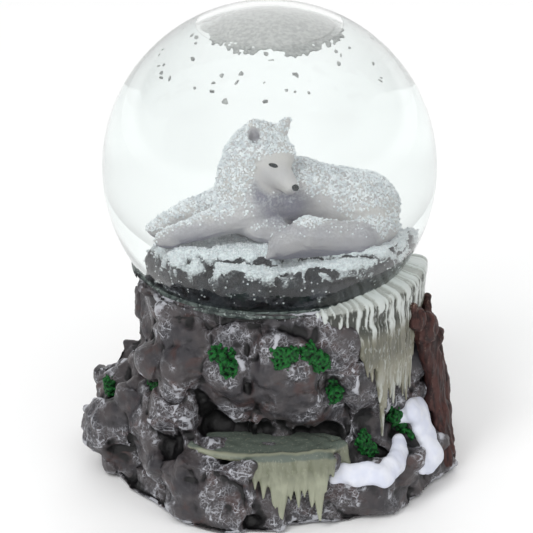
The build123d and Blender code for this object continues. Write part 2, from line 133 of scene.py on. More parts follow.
def tilted_cells(points, size, seed):
    """For each of the 27 cells round a point: its middle's squared distance, its plane's rise, its level."""
    p = points / size
    home = np.floor(p)
    for step in itertools.product((-1, 0, 1), repeat=3):
        cell = home + step
        centre = cell + np.stack([hashed(cell, seed + axis) for axis in range(3)], axis=-1)
        tilt = np.stack([hashed(cell, seed + 10 + axis) for axis in range(3)], axis=-1) - 0.5
        away = p - centre
        yield (away**2).sum(axis=1), (away * tilt).sum(axis=1), 0.5 * (hashed(cell, seed + 20) - 0.5)


def facets(points, size, seed=0):
    """Chipped flats: each cell is a tilted plane, so that neighbours meet in a step. About -0.5 to 0.5."""
    near, result = np.full(len(points), 99.0), np.zeros(len(points))
    for gap, slope, level in tilted_cells(points, size, seed):
        result = np.where(gap < near, slope * 1.3 + level, result)
        near = np.minimum(near, gap)
    return result


def slabs(points, size, seed=0):
    """Each cell is a tilted, slightly rounded face, and neighbours meet in a groove. About -0.5 to 0.5."""
    result = np.full(len(points), -9.0)
    for gap, slope, level in tilted_cells(points, size, seed):
        result = np.maximum(result, slope * 1.4 + level - 1.1 * gap)
    return result + 0.15


def ramp(value, low, high):
    t = np.clip((value - low) / (high - low), 0, 1)
    return t * t * (3 - 2 * t)


# ------------------------------------------------------------------ meshes

def polar(azimuth, radius, height):
    """A point at an azimuth from the front, in degrees, positive towards +X."""
    turn = math.radians(azimuth)
    return np.array([radius * math.sin(turn), -radius * math.cos(turn), height])


def compass(points):
    """The azimuth, distance from the axis and height of each point."""
    x, y, z = points.T
    return np.degrees(np.arctan2(x, -y)), np.hypot(x, y), z


def new_mesh(name, points, faces):
    mesh = bpy.data.meshes.new(name)
    mesh.from_pydata((np.asarray(points) * MM).tolist(), [], [list(map(int, f)) for f in faces])
    mesh.validate()
    mesh.shade_smooth()
    return mesh


def add(name, mesh, material, body=ROOT, replaces=()):
    """Puts a finished piece in the scene: on its body, with its material and the CAD nodes it stands for."""
    piece = bpy.data.objects.new(name, mesh)
    bpy.context.scene.collection.objects.link(piece)
    mesh.materials.clear()
    mesh.materials.append(material)
    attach(piece, body)
    if replaces:
        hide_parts(*replaces)
    return piece


def evaluated(mesh, **modifier):
    """A mesh after one modifier: its type and settings."""
    holder = bpy.data.objects.new("holder", mesh)
    bpy.context.scene.collection.objects.link(holder)
    kind = modifier.pop("kind")
    made = holder.modifiers.new("shape", kind)
    for key, value in modifier.items():
        setattr(made, key, value)
    bpy.context.view_layer.update()
    result = bpy.data.meshes.new_from_object(holder.evaluated_get(bpy.context.evaluated_depsgraph_get()))
    bpy.data.objects.remove(holder)
    return result


def voxel(mesh, size):
    return evaluated(mesh, kind="REMESH", mode="VOXEL", voxel_size=size * MM, adaptivity=0.0)


def joined(parts):
    """One (points, faces) from several."""
    points, faces, start = [], [], 0
    for some_points, some_faces in parts:
        points.append(np.asarray(some_points, float))
        faces += [[int(i) + start for i in face] for face in some_faces]
        start += len(some_points)
    return np.concatenate(points), faces


def raw(node):
    """A CAD node's points, in mm, and faces."""
    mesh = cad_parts[node].data
    points = np.empty(len(mesh.vertices) * 3)
    mesh.vertices.foreach_get("co", points)
    return points.reshape(-1, 3) / MM, [list(p.vertices) for p in mesh.polygons]


class Skin:
    """A dense mesh whose points are moved about as an array, in mm. grains says where frost grains stick."""

    def __init__(self, mesh):
        self.grains = None
        self.mesh = mesh
        self.count = len(mesh.vertices)
        points = np.empty(self.count * 3)
        mesh.vertices.foreach_get("co", points)
        self.points = points.reshape(-1, 3) / MM
        edges = np.empty(len(mesh.edges) * 2, int)
        mesh.edges.foreach_get("vertices", edges)
        self.edges = edges.reshape(-1, 2)
        self.degree = np.maximum(np.bincount(edges, minlength=self.count), 1)

    def around(self, values):
        """The mean of each point's neighbours."""
        a, b = self.edges.T
        values = values.reshape(self.count, -1)
        columns = []
        for column in values.T:
            total = np.bincount(a, column[b], self.count) + np.bincount(b, column[a], self.count)
            columns.append(total / self.degree)
        return np.stack(columns, axis=1)

    def smooth(self, times, keep=None):
        """Softens the form. keep holds points back: 1 holds one fully."""
        for _ in range(times):
            moved = self.around(self.points)
            if keep is not None:
                moved = moved + (self.points - moved) * keep[:, None]
            self.points = (self.points + moved) / 2
        return self

    def normals(self):
        self.store()
        normals = np.empty(self.count * 3)
        self.mesh.vertices.foreach_get("normal", normals)
        return normals.reshape(-1, 3)

    def push(self, amount, directions=None):
        directions = self.normals() if directions is None else directions
        self.points = self.points + directions * np.asarray(amount).reshape(-1, 1)
        return self

    def draw_in(self, amount):
        """Moves each point towards the upright axis by an amount, in mm."""
        radius = np.maximum(np.hypot(self.points[:, 0], self.points[:, 1]), 1)
        self.points[:, :2] *= (1 - amount / radius)[:, None]
        return self

    def hollow(self, times):
        """How far each point lies below its surroundings, in mm: positive in a hollow."""
        normals, soft = self.normals(), self.points
        for _ in range(times):
            soft = (soft + self.around(soft)) / 2
        return ((soft - self.points) * normals).sum(axis=1)

    def mark(self, name, values):
        made = self.mesh.attributes.new(name, "FLOAT", "POINT")
        made.data.foreach_set("value", np.asarray(values, np.float32))
        return self

    def store(self):
        self.mesh.vertices.foreach_set("co", (self.points * MM).ravel())
        self.mesh.update()
        return self

    def done(self):
        self.store()
        self.mesh.shade_smooth()
        return self.mesh


class Field:
    """A solid on a grid, built up from soft-edged primitives, then turned into a smooth closed mesh."""

    def __init__(self, low, high, step):
        self.low, self.step = np.array(low, float), step
        counts = np.ceil((np.array(high, float) - self.low) / step).astype(int) + 1
        self.axes = [self.low[i] + step * np.arange(counts[i]) for i in range(3)]
        self.values = np.full(counts, 50.0)
        self.bones = []

    def part(self, low, high):
        spans = []
        for axis in range(3):
            first = int(np.searchsorted(self.axes[axis], low[axis]))
            last = int(np.searchsorted(self.axes[axis], high[axis]))
            spans.append(slice(first, max(last, first + 1)))
        grid = np.meshgrid(*[self.axes[i][spans[i]] for i in range(3)], indexing="ij")
        return tuple(spans), np.stack(grid, axis=-1)

    def merge(self, spans, distance, blend, carve):
        old = self.values[spans]
        if carve:
            old, distance = -old, distance
        if blend > 0:
            near = np.clip(0.5 + 0.5 * (old - distance) / blend, 0, 1)
            new = old + (distance - old) * near - blend * near * (1 - near)
        else:
            new = np.minimum(old, distance)
        self.values[spans] = -new if carve else new

    def limb(self, start, start_r, end, end_r, blend=0.8, carve=False, flat=None):
        """A tapered round-ended limb. flat is (direction, share): the limb is squeezed to that share of its
        thickness along the direction."""
        start, end = np.array(start, float), np.array(end, float)
        reach = max(start_r, end_r) + blend * 2 + self.step * 2
        spans, points = self.part(np.minimum(start, end) - reach, np.maximum(start, end) + reach)
        run = end - start
        away = points - start
        along = np.clip((away @ run) / max(run @ run, 1e-9), 0, 1)
        gap = away - along[..., None] * run
        scale = 1.0
        if flat is not None:
            way = np.array(flat[0], float)
            way /= np.linalg.norm(way)
            out = gap @ way
            gap = gap + (out * (1 / flat[1] - 1))[..., None] * way
            scale = flat[1]
        distance = (np.linalg.norm(gap, axis=-1) - (start_r + (end_r - start_r) * along)) * (scale**0.5)
        self.merge(spans, distance, blend, carve)
        if not carve:
            self.bones.append((start, end, start_r, end_r))
        return self

    def blob(self, centre, radii, blend=0.8, carve=False, turn=None):
        """An ellipsoid. turn is (axis, degrees)."""
        centre, radii = np.array(centre, float), np.array(radii, float)
        reach = radii.max() + blend * 2 + self.step * 2
        spans, points = self.part(centre - reach, centre + reach)
        p = points - centre
        if turn is not None:
            p = p @ np.array(Matrix.Rotation(math.radians(turn[1]), 3, Vector(turn[0])))
        outer = np.linalg.norm(p / radii, axis=-1)
        inner = np.maximum(np.linalg.norm(p / radii**2, axis=-1), 1e-6)
        self.merge(spans, outer * (outer - 1) / inner, blend, carve)
        if not carve:
            way = np.zeros(3)
            way[int(radii.argmax())] = radii.max() * 0.5
            self.bones.append((centre - way, centre + way, radii.min(), radii.min()))
        return self

    def mesh(self, name):
        """Surface nets: one point in each cell that the surface crosses."""
        d = self.values
        inside = d < 0
        n = np.array(d.shape)
        corner_steps = list(itertools.product((0, 1), repeat=3))
        views = [inside[i:n[0] - 1 + i, j:n[1] - 1 + j, k:n[2] - 1 + k] for i, j, k in corner_steps]
        filled = sum(v.astype(np.int8) for v in views)
        active = (filled > 0) & (filled < 8)
        where = np.argwhere(active)
        number = np.full(active.shape, -1)
        number[active] = np.arange(len(where))
        depth = np.stack([d[tuple((where + step).T)] for step in corner_steps], axis=1)
        total, hits = np.zeros((len(where), 3)), np.zeros(len(where))
        for a, b in itertools.combinations(range(8), 2):
            low, high = np.array(corner_steps[a]), np.array(corner_steps[b])
            if np.abs(high - low).sum() != 1:
                continue
            crossing = (depth[:, a] < 0) != (depth[:, b] < 0)
            share = depth[:, a] / np.where(crossing, depth[:, a] - depth[:, b], 1)
            total += np.where(crossing[:, None], low + share[:, None] * (high - low), 0)
            hits += crossing
        points = self.low + (where + total / hits[:, None]) * self.step
        faces = []
        for axis in range(3):
            u, v = (axis + 1) % 3, (axis + 2) % 3
            one, two = [slice(1, -1)] * 3, [slice(1, -1)] * 3
            one[axis], two[axis] = slice(0, -1), slice(1, None)
            change = inside[tuple(one)].astype(np.int8) - inside[tuple(two)].astype(np.int8)
            for sign in (1, -1):
                at = np.argwhere(change == sign)
                at[:, u] += 1
                at[:, v] += 1
                ring = []
                for du, dv in ((1, 1), (0, 1), (0, 0), (1, 0)):
                    cell = at.copy()
                    cell[:, u] -= du
                    cell[:, v] -= dv
                    ring.append(number[tuple(cell.T)])
                quad = np.stack(ring, axis=1)
                faces.append(quad if sign == 1 else quad[:, ::-1])
        return new_mesh(name, points, np.concatenate(faces))


def flow(points, bones, stretch=0.22):
    """The points squeezed along the nearest limb, so that noise on them makes strokes along it."""
    best = np.full(len(points), 1e9)
    result = points.copy()
    for start, end, start_r, end_r in bones:
        run = end - start
        length = np.linalg.norm(run)
        if length < 0.5:
            continue
        along = np.clip(((points - start) @ run) / length**2, 0, 1)
        gap = np.linalg.norm(points - start - along[:, None] * run, axis=1)
        gap = gap - (start_r + (end_r - start_r) * along)
        way = run / length
        squeezed = points - (1 - stretch) * (points @ way)[:, None] * way
        nearer = gap < best
        result[nearer] = squeezed[nearer]
        best[nearer] = gap[nearer]
    return result


# ------------------------------------------------------------------ materials

class Paint:
    """A node material with one Principled shader, built in few words."""

    def __init__(self, name, **settings):
        self.material = bpy.data.materials.new(name)
        self.material.use_nodes = True
        self.tree = self.material.node_tree
        self.shader = self.tree.nodes["Principled BSDF"]
        self.place = self.tree.nodes.new("ShaderNodeTexCoord").outputs["Object"]
        for key, value in settings.items():
            self.shader.inputs[key.replace("_", " ")].default_value = value

    def node(self, kind, **settings):
        made = self.tree.nodes.new("ShaderNode" + kind)
        for key, value in settings.items():
            setattr(made, key, value)
        return made

    def feed(self, socket, value):
        if isinstance(value, bpy.types.NodeSocket):
            self.tree.links.new(value, socket)
        elif isinstance(value, (tuple, list)):
            socket.default_value = (*value, 1) if len(value) == 3 and socket.type == "RGBA" else value
        else:
            socket.default_value = value

    def noise(self, size, detail=3.0, rough=0.55, warp=0.0, stretch=None):
        """Noise with features about size mm across."""
        made = self.node("TexNoise")
        self.feed(made.inputs["Vector"], self.stretched(stretch))
        self.feed(made.inputs["Scale"], 1 / (size * MM))
        self.feed(made.inputs["Detail"], detail)
        self.feed(made.inputs["Roughness"], rough)
        self.feed(made.inputs["Distortion"], warp)
        return made.outputs["Fac"]

    def stretched(self, scale):
        if scale is None:
            return self.place
        made = self.node("Mapping")
        self.feed(made.inputs["Vector"], self.place)
        self.feed(made.inputs["Scale"], scale)
        return made.outputs["Vector"]

    def attribute(self, name):
        return self.node("Attribute", attribute_name=name).outputs["Fac"]

    def sums(self, kind, a, b=0.0, clamp=False):
        made = self.node("Math", operation=kind, use_clamp=clamp)
        self.feed(made.inputs[0], a)
        self.feed(made.inputs[1], b)
        return made.outputs[0]

    def times(self, a, b):
        return self.sums("MULTIPLY", a, b)

    def plus(self, a, b):
        return self.sums("ADD", a, b)

    def less(self, a, b):
        return self.sums("SUBTRACT", a, b)

    def most(self, a, b, clamp=False):
        return self.sums("MAXIMUM", a, b, clamp)

    def step(self, value, low, high):
        """0 below low, 1 above high."""
        made = self.node("MapRange", interpolation_type="SMOOTHSTEP")
        for socket, number in zip(made.inputs, (value, low, high, 0.0, 1.0)):
            self.feed(socket, number)
        return made.outputs["Result"]

    def crackle(self, size, width, warp=0.8):
        """1 along a wandering network of thin veins, width mm wide, round cells about size mm across."""
        drift = self.node("TexNoise")
        self.feed(drift.inputs["Vector"], self.place)
        self.feed(drift.inputs["Scale"], 0.8 / (size * MM))
        self.feed(drift.inputs["Detail"], 3.0)
        offset = self.node("VectorMath", operation="MULTIPLY_ADD")
        self.feed(offset.inputs[0], drift.outputs["Color"])
        self.feed(offset.inputs[1], (warp * size * MM,) * 3)
        self.feed(offset.inputs[2], self.place)
        made = self.node("TexVoronoi", feature="DISTANCE_TO_EDGE")
        self.feed(made.inputs["Vector"], offset.outputs[0])
        self.feed(made.inputs["Scale"], 1 / (size * MM))
        thin = width / size / 2
        beyond = self.step(made.outputs["Distance"], thin * 0.5, thin * 1.5)
        return self.sums("SUBTRACT", 1.0, beyond, clamp=True)

    def mix(self, share, a, b):
        made = self.node("Mix", data_type="RGBA")
        self.feed(made.inputs["Factor"], share)
        self.feed(made.inputs["A"], a)
        self.feed(made.inputs["B"], b)
        return made.outputs["Result"]

    def bump(self, height, strength=0.3, depth=0.3):
        made = self.node("Bump")
        self.feed(made.inputs["Height"], height)
        self.feed(made.inputs["Strength"], strength)
        self.feed(made.inputs["Distance"], depth * MM)
        self.tree.links.new(made.outputs["Normal"], self.shader.inputs["Normal"])
        return self

    def colour(self, value):
        self.feed(self.shader.inputs["Base Color"], value)
        return self

    def roughness(self, value):
        self.feed(self.shader.inputs["Roughness"], value)
        return self

    def lets_lamps_through(self, tint):
        """Glass that lamps shine straight through, so that what it holds is lit."""
        output = self.tree.nodes["Material Output"]
        path, clear, mix = self.node("LightPath"), self.node("BsdfTransparent"), self.node("MixShader")
        clear.inputs["Color"].default_value = (*tint, 1)
        self.tree.links.new(path.outputs["Is Shadow Ray"], mix.inputs[0])
        self.tree.links.new(self.shader.outputs[0], mix.inputs[1])
        self.tree.links.new(clear.outputs[0], mix.inputs[2])
        self.tree.links.new(mix.outputs[0], output.inputs["Surface"])
        return self


def rock_paint():
    """Dark grey-brown resin: painted shade, near black, in the hollows; white dry-brush paint in scribbled
    veins.
    """
    p = Paint("rock_paint", Specular_IOR_Level=0.5)
    stone = p.mix(p.step(p.noise(8, 3), 0.38, 0.62), (0.030, 0.028, 0.033), (0.056, 0.048, 0.050))
    stone = p.mix(p.times(p.step(p.noise(3.1, 4), 0.5, 0.72), 0.7), stone, (0.080, 0.075, 0.080))
    stone = p.mix(p.times(p.step(p.noise(6.3, 3, warp=0.6), 0.54, 0.68), 0.6), stone, (0.062, 0.029, 0.025))
    # painted shade: the hollows are darkened to near black
    stone = p.mix(p.step(p.attribute("hollow"), 0.03, 0.42), stone, (0.0022, 0.002, 0.0025))
    patches = p.attribute("veined")
    broken = p.step(p.noise(2.4, 3), 0.40, 0.58)
    fine = p.most(p.crackle(3.8, 0.24, 1.2), p.times(p.crackle(1.7, 0.20, 1.2), 0.7))
    fine = p.times(p.times(fine, patches), broken)
    crest = p.plus(p.attribute("crest"), p.times(p.noise(0.8, 3), 0.5))
    crest = p.step(crest, 0.76, 1.20)
    white = p.most(p.times(fine, 0.75), crest, clamp=True)
    dust = p.times(p.times(p.step(p.noise(0.7, 3), 0.45, 0.65), patches), 0.22)
    white = p.most(white, dust)
    p.colour(p.mix(p.times(white, 0.9), stone, (0.46, 0.47, 0.51)))
    p.roughness(p.plus(p.times(p.noise(1.2, 3), 0.25), 0.32))
    p.bump(p.plus(p.noise(0.8, 4), p.times(white, 0.4)), 0.55, 0.35)
    return p.material


def frost_paint():
    p = Paint("frost_paint", Specular_IOR_Level=0.6)
    p.colour(p.mix(p.step(p.noise(1.5, 2), 0.35, 0.65), (0.70, 0.73, 0.76), (0.93, 0.95, 0.97)))
    p.roughness(p.plus(p.times(p.noise(0.6, 1), 0.2), 0.2))
    return p.material


def ledge_paint():
    """The rock inside the globe: dark blue-grey under a crust of glitter frost, with painted shade in its
    hollows.
    """
    p = Paint("ledge_paint", Specular_IOR_Level=0.35)
    stone = p.mix(p.step(p.noise(5, 3), 0.4, 0.6), (0.024, 0.029, 0.036), (0.048, 0.048, 0.055))
    # painted shade: the hollows are darkened to near black
    stone = p.mix(p.step(p.attribute("hollow"), 0.05, 0.7), stone, (0.007, 0.009, 0.010))
    stone = p.mix(p.times(p.attribute("foot"), 0.75), stone, (0.014, 0.024, 0.021))
    frost = p.attribute("frost")
    grains = p.step(p.noise(0.62, 2), 0.36, 0.62)
    share = p.step(p.plus(frost, p.times(p.noise(1.7, 3), 0.9)), 0.72, 1.20)
    body = p.mix(p.times(p.step(frost, 0.35, 0.95), 0.95), stone, (0.74, 0.79, 0.82))
    p.colour(p.mix(p.times(p.times(share, grains), 0.9), body, (0.90, 0.95, 0.97)))
    p.roughness(p.plus(p.times(grains, -0.2), 0.6))
    p.bump(p.plus(p.noise(0.6, 3), grains), 0.5, 0.3)
    return p.material


def fur_paint():
    """White resin fur: painted lavender shade in the hollows and under the body, ivory on the face and tail,
    glitter grains over the rest.
    """
    p = Paint("fur_paint", Specular_IOR_Level=0.4)
    coat = p.mix(p.step(p.noise(7, 2), 0.35, 0.65), (0.56, 0.535, 0.545), (0.61, 0.58, 0.565))
    # painted shade: lavender in the hollows and where the shade mark is high
    coat = p.mix(p.times(p.step(p.attribute("hollow"), 0.0, 0.7), 0.85), coat, (0.20, 0.20, 0.27))
    coat = p.mix(p.attribute("shade"), coat, (0.16, 0.155, 0.215))
    frost = p.attribute("frost")
    grain = p.noise(0.55, 2)
    gaps = p.times(p.less(1.0, p.step(grain, 0.36, 0.48)), frost)
    sparkle = p.times(p.step(grain, 0.46, 0.60), frost)
    coat = p.mix(p.times(gaps, 0.35), coat, (0.33, 0.35, 0.38))
    p.colour(p.mix(p.times(sparkle, 0.45), coat, (0.80, 0.82, 0.84)))
    p.roughness(p.less(0.62, p.times(sparkle, 0.35)))
    p.bump(grain, 0.5, 0.3)
    return p.material


def ice_paint(name, dark, body, pale, clear=0.3):
    """Tinted clear resin: painted shade in its grooves, pale on its crests, partly frost and partly painted
    highlight, body-coloured between.
    """
    p = Paint(name, IOR=1.45, Transmission_Weight=clear)
    tone = p.mix(p.attribute("dark"), body, dark)
    tone = p.mix(p.attribute("pale"), tone, pale)
    flecks = p.step(p.noise(0.8, 2, stretch=(1.0, 1.0, 0.35)), 0.56, 0.70)
    tone = p.mix(p.times(flecks, 0.35), tone, pale)
    p.colour(tone)
    p.roughness(p.plus(p.times(p.noise(1.1, 2), 0.18), 0.12))
    p.bump(p.noise(1.0, 2, stretch=(1.0, 1.0, 0.4)), 0.2, 0.25)
    return p.material


def snow_paint():
    p = Paint("snow_paint", Roughness=0.6)
    tone = p.mix(p.step(p.noise(5, 2), 0.35, 0.65), (0.66, 0.69, 0.80), (0.74, 0.76, 0.83))
    # painted shade: blue-grey in the hollows of the snow
    p.colour(p.mix(p.step(p.attribute("hollow"), 0.0, 0.5), tone, (0.36, 0.39, 0.58)))
    p.bump(p.noise(0.6, 3), 0.25, 0.2)
    return p.material


def moss_paint():
    p = Paint("moss_paint", Specular_IOR_Level=0.25)
    grain = p.noise(0.8, 2)
    tone = p.mix(p.step(grain, 0.35, 0.65), (0.003, 0.042, 0.010), (0.012, 0.125, 0.022))
    # painted shade: near black in the gaps between the crumbs
    p.colour(p.mix(p.step(p.attribute("hollow"), -0.04, 0.12), tone, (0.0005, 0.004, 0.0015)))
    p.roughness(p.plus(p.times(grain, 0.3), 0.5))
    p.bump(p.noise(0.35, 2), 0.5, 0.2)
    return p.material


def bark_paint():
    p = Paint("bark_paint", Specular_IOR_Level=0.3)
    grain = p.noise(1.3, 4, stretch=(1.0, 1.0, 0.16), warp=0.3)
    tone = p.mix(p.step(grain, 0.35, 0.62), (0.018, 0.008, 0.008), (0.066, 0.026, 0.022))
    # painted shade: near black in the hollows of the bark
    tone = p.mix(p.step(p.attribute("hollow"), 0.02, 0.5), tone, (0.004, 0.002, 0.002))
    dust = p.times(p.step(p.attribute("edge"), 0.03, 0.25), p.attribute("tan"))
    dust = p.times(dust, p.step(p.noise(0.6, 3), 0.45, 0.6))
    p.colour(p.mix(p.times(dust, 0.75), tone, (0.36, 0.26, 0.21)))
    p.roughness(p.plus(p.times(grain, 0.25), 0.45))
    p.bump(p.noise(0.7, 3, stretch=(1.0, 1.0, 0.2)), 0.5, 0.3)
    return p.material


def cement_paint():
    p = Paint("cement_paint")
    tone = p.mix(p.step(p.noise(2.2, 3), 0.4, 0.6), (0.020, 0.030, 0.028), (0.10, 0.125, 0.115))
    p.colour(p.mix(p.step(p.noise(0.9, 3), 0.58, 0.68), tone, (0.30, 0.34, 0.33)))
    p.roughness(p.plus(p.times(p.noise(1.0, 2), 0.2), 0.25))
    p.bump(p.noise(0.9, 3), 0.4, 0.3)
    return p.material


def flake_paint():
    p = Paint("flake_paint", Specular_IOR_Level=0.5)
    # painted shade: the white snow is coloured grey, the shade of its backlit undersides
    p.colour(p.mix(p.step(p.noise(1.2, 3), 0.4, 0.62), (0.43, 0.43, 0.43), (0.56, 0.56, 0.55)))
    p.roughness(p.plus(p.times(p.noise(0.8, 2), 0.3), 0.35))
    p.bump(p.noise(0.5, 3), 0.4, 0.2)
    return p.material


def plain_paint(name, first, second, size, rough, depth=0.15):
    """A mottled plain finish: felt, board, rubber or sealant."""
    p = Paint(name)
    p.colour(p.mix(p.step(p.noise(size * 6, 2), 0.35, 0.65), first, second))
    p.roughness(p.plus(p.times(p.noise(size, 2), 0.15), rough))
    p.bump(p.noise(size, 4), 0.6, depth)
    return p.material


def clear_paint(name, ior, tint, lamp_tint):
    p = Paint(name, IOR=ior, Transmission_Weight=1.0, Roughness=0.0, Base_Color=(*tint, 1))
    p.lets_lamps_through(lamp_tint)
    return p.material


# ------------------------------------------------------------------ rock

def inside_of_base(points):
    """1 on the cup, the well and the hollow, which keep their plain faces; 0 on the sculpted outside."""
    _, radius, z = compass(points)
    cup = ramp(-np.sqrt(radius**2 + (z - GLOBE_Z) ** 2), -51.9, -51.3)
    well = ramp(-radius, -39.6, -38.6) * ramp(z, 42.6, 43.4)
    hollow = np.maximum(ramp(-radius, -32.0, -31.0), ramp(-radius, -44.2, -43.2) * ramp(-z, -19.5, -18.6))
    underside = ramp(-z, -1.6, -1.0)
    return np.maximum.reduce([cup, well, hollow, underside])


def boulder(place, turn, lean, size, seed):
    """A chipped boulder, as points and faces. size is its width, depth and height, lean its tilt."""
    rng = np.random.default_rng(seed)
    corners = rng.normal(size=(20, 3))
    corners /= np.linalg.norm(corners, axis=1)[:, None]
    corners *= rng.uniform(0.86, 1.12, (20, 1)) * np.array(size) / 2
    bm = bmesh.new()
    for corner in corners:
        bm.verts.new(corner)
    within = bmesh.ops.convex_hull(bm, input=bm.verts[:])["geom_interior"]
    loose_corners = list({v for v in within if isinstance(v, bmesh.types.BMVert)})
    bmesh.ops.delete(bm, geom=loose_corners, context="VERTS")
    bm.verts.index_update()
    points = np.array([v.co[:] for v in bm.verts])
    faces = [[v.index for v in face.verts] for face in bm.faces]
    bm.free()
    tilt = Matrix.Rotation(math.radians(turn), 3, "Z") @ Matrix.Rotation(math.radians(lean), 3, "Y")
    return points @ np.array(tilt).T + place, faces


# Boulders that break up the courses of the cliff: azimuth, height, (width, depth, height), lean
BOULDERS = [
    (-36, 41, (8, 8, 19), 14), (-23.5, 43, (8, 7, 17), -12), (-13, 45, (7, 6, 13), 10),
    (-49, 43, (12, 9, 12), 8), (-63, 46, (10, 8, 14), -8), (7, 36.5, (18, 7, 8), -16),
    (30, 32, (13, 8, 13), 12), (23, 50, (10, 7, 12), -14), (-44, 25, (10, 8, 13), 10),
    (-60, 27, (12, 9, 15), -10), (1, 48, (13, 6, 10), 12), (-31, 29, (9, 7, 12), -16),
    (38, 42, (9, 7, 11), 10), (-74, 42, (9, 8, 11), 14), (16, 42, (9, 6, 8), 20), (48, 9, (13, 8, 13), -12),
    (33, 6, (12, 8, 10), 10), (120, 40, (13, 9, 16), 12), (150, 30, (14, 9, 18), -14),
    (185, 44, (12, 8, 14), 12), (205, 22, (14, 9, 15), -10), (235, 40, (13, 9, 16), 14),
    (130, 14, (14, 9, 13), 10), (250, 18, (13, 9, 14), -12),
]
BOULDER_SUNK = 0.8
ALCOVE_BLOCK = (9, 9, 20)  # the blocks that bring the cliff down to the back of the pond
FUSE = 1.3  # half of the widest gap that one swelling closes
LEAST_FOOT_R = 46.5
ROCK_FOOT_Z = 0.3


def fused_blocks():
    """The CAD rock and the boulders, swollen, fused and shrunk again, which closes narrow gaps."""
    body = raw("base_casting")
    skin_radius = outside_finder(new_mesh("plain_base", *body))
    parts = [body]
    for seed, (azimuth, height, size, lean) in enumerate(BOULDERS):
        place = polar(azimuth, skin_radius(azimuth, height) - BOULDER_SUNK, height)
        parts.append(boulder(place, azimuth, lean, size, seed))
    for seed, azimuth in enumerate(range(-36, 37, 4)):
        place = polar(azimuth, 33.0 + 0.4 * (seed % 3), 28)
        parts.append(boulder(place, azimuth, 0, ALCOVE_BLOCK, 40 + seed))
    skin = Skin(voxel(new_mesh("base", *joined(parts)), 0.7))
    # above the pond the cliff leans back instead of overhanging
    azimuth, radius, z = compass(skin.points)
    over = np.clip(radius - 38.5 - 0.42 * (z - 24), 0, None)
    skin.draw_in(over * (1 - ramp(np.abs(azimuth + 2), 22, 36)) * ramp(z, 23, 24))
    for amount, size in ((FUSE, 0.7), (FUSE, 0.6), (-FUSE, 0.5), (-FUSE, None)):
        skin.push(amount * (1 - inside_of_base(skin.points)))
        if size:
            skin = Skin(voxel(skin.done(), size))
    return skin


def set_outline(skin, free):
    """Drawn in under the rim and at the foot on the left, swollen at the foot on the right."""
    azimuth, radius, z = compass(skin.points)
    left = 1 - ramp(np.abs((azimuth + 98 + 180) % 360 - 180), 34, 56)
    step = 25 - 13 * ramp(-azimuth, 95, 120)
    right_foot = np.exp(-(((azimuth - 58) / 26) ** 2)) * (1 - ramp(z, 7, 19))
    left_foot = (1 - ramp(np.abs(azimuth + 72), 28, 56)) * (1 - ramp(z, 7, 13))
    seat = np.sqrt(np.clip(50.6**2 - (z - GLOBE_Z) ** 2, 0, None))
    seat = np.maximum(seat, 37.4 * ramp(z, 40, 43)) + 1.7
    wanted = np.maximum(radius - 5.2 * left * ramp(z, step, step + 6), np.minimum(seat, radius))
    wanted = radius + (wanted - radius) * free + 4.8 * right_foot * free
    wanted = wanted - np.minimum(5.4 * left_foot, np.clip(wanted - LEAST_FOOT_R, 0, None))
    skin.points[:, :2] *= (wanted / np.maximum(radius, 1))[:, None]


def chisel(skin, hold):
    """The blocks lean and bend into each other, then break into slabs, flats and cracks."""
    free = 1 - hold
    for size, amount, seed in ((17, 2.6, 1), (7, 1.0, 4)):
        skin.points = skin.points + amount * sway(skin.points, size, seed) * free[:, None]
    lean = skin.points + skin.points[:, 2:3] * (0.25, 0.15, 0.0)
    lean = lean * (1, 1, 0.75)
    relief = 9.0 * slabs(lean, 12.5, 21) - 4.5 * slabs(lean, 8, 5) + 1.4 * facets(lean, 9, 33)
    relief += 1.2 * (layered(lean, 13, 4) - 0.5)
    crack = ridges(lean * (1, 1, 0.7), 8.5, 60, 1)
    relief -= 1.0 * ramp(crack, 0.93, 1.0) * ramp(layered(skin.points, 11, 66), 0.42, 0.56)
    skin.push(relief * free * 0.66)
    skin.smooth(2, hold)


def base_rock():
    skin = fused_blocks()
    hold = inside_of_base(skin.points)
    free = 1 - hold
    skin.smooth(5, hold)
    skin.push(-0.8 * np.clip(skin.hollow(30), 0, 1.5) * free)
    set_outline(skin, free)
    chisel(skin, hold)
    # kept behind the face of the ice fall
    azimuth, radius, z = compass(skin.points)
    behind = (1 - ramp(np.abs(azimuth - 51), 15, 20)) * ramp(z, 28, 34) * free
    skin.draw_in(np.clip(radius - 46.6, 0, None) * behind)
    # scribbled veins, and where the paints and the painted shade go
    warped = skin.points + 1.1 * sway(skin.points, 2.6, 11)
    broad, narrow = ridges(warped, 3.3, 31, 1), ridges(warped, 1.9, 41, 1)
    skin.push(free * (0.30 * broad + 0.18 * narrow - 0.20))
    hollow, edge = skin.hollow(26), -skin.hollow(11)
    patches = ramp(layered(skin.points, 8, 77), 0.44, 0.62) * ramp(-hollow, -0.35, 0.05)
    scribble = np.maximum(ramp(broad, 0.78, 0.96), 0.9 * ramp(narrow, 0.80, 0.97)) * (0.35 + 0.65 * patches)
    crest = np.maximum(scribble * ramp(-hollow, -0.4, 0.0), ramp(edge, 0.08, 0.32) * (0.6 + 0.4 * patches))
    streaks = ramp(ridges(skin.points * (1, 1, 0.2), 1.7, 81, 1), 0.72, 0.93)
    crest = np.maximum(crest, 0.8 * ramp(skin.points[:, 2], 58, 63) * streaks * free)
    skin.mark("hollow", ramp(hollow, 0.0, 0.8)).mark("crest", crest).mark("veined", patches)
    skin.points[:, 2] = np.maximum(skin.points[:, 2], ROCK_FOOT_Z)
    return skin


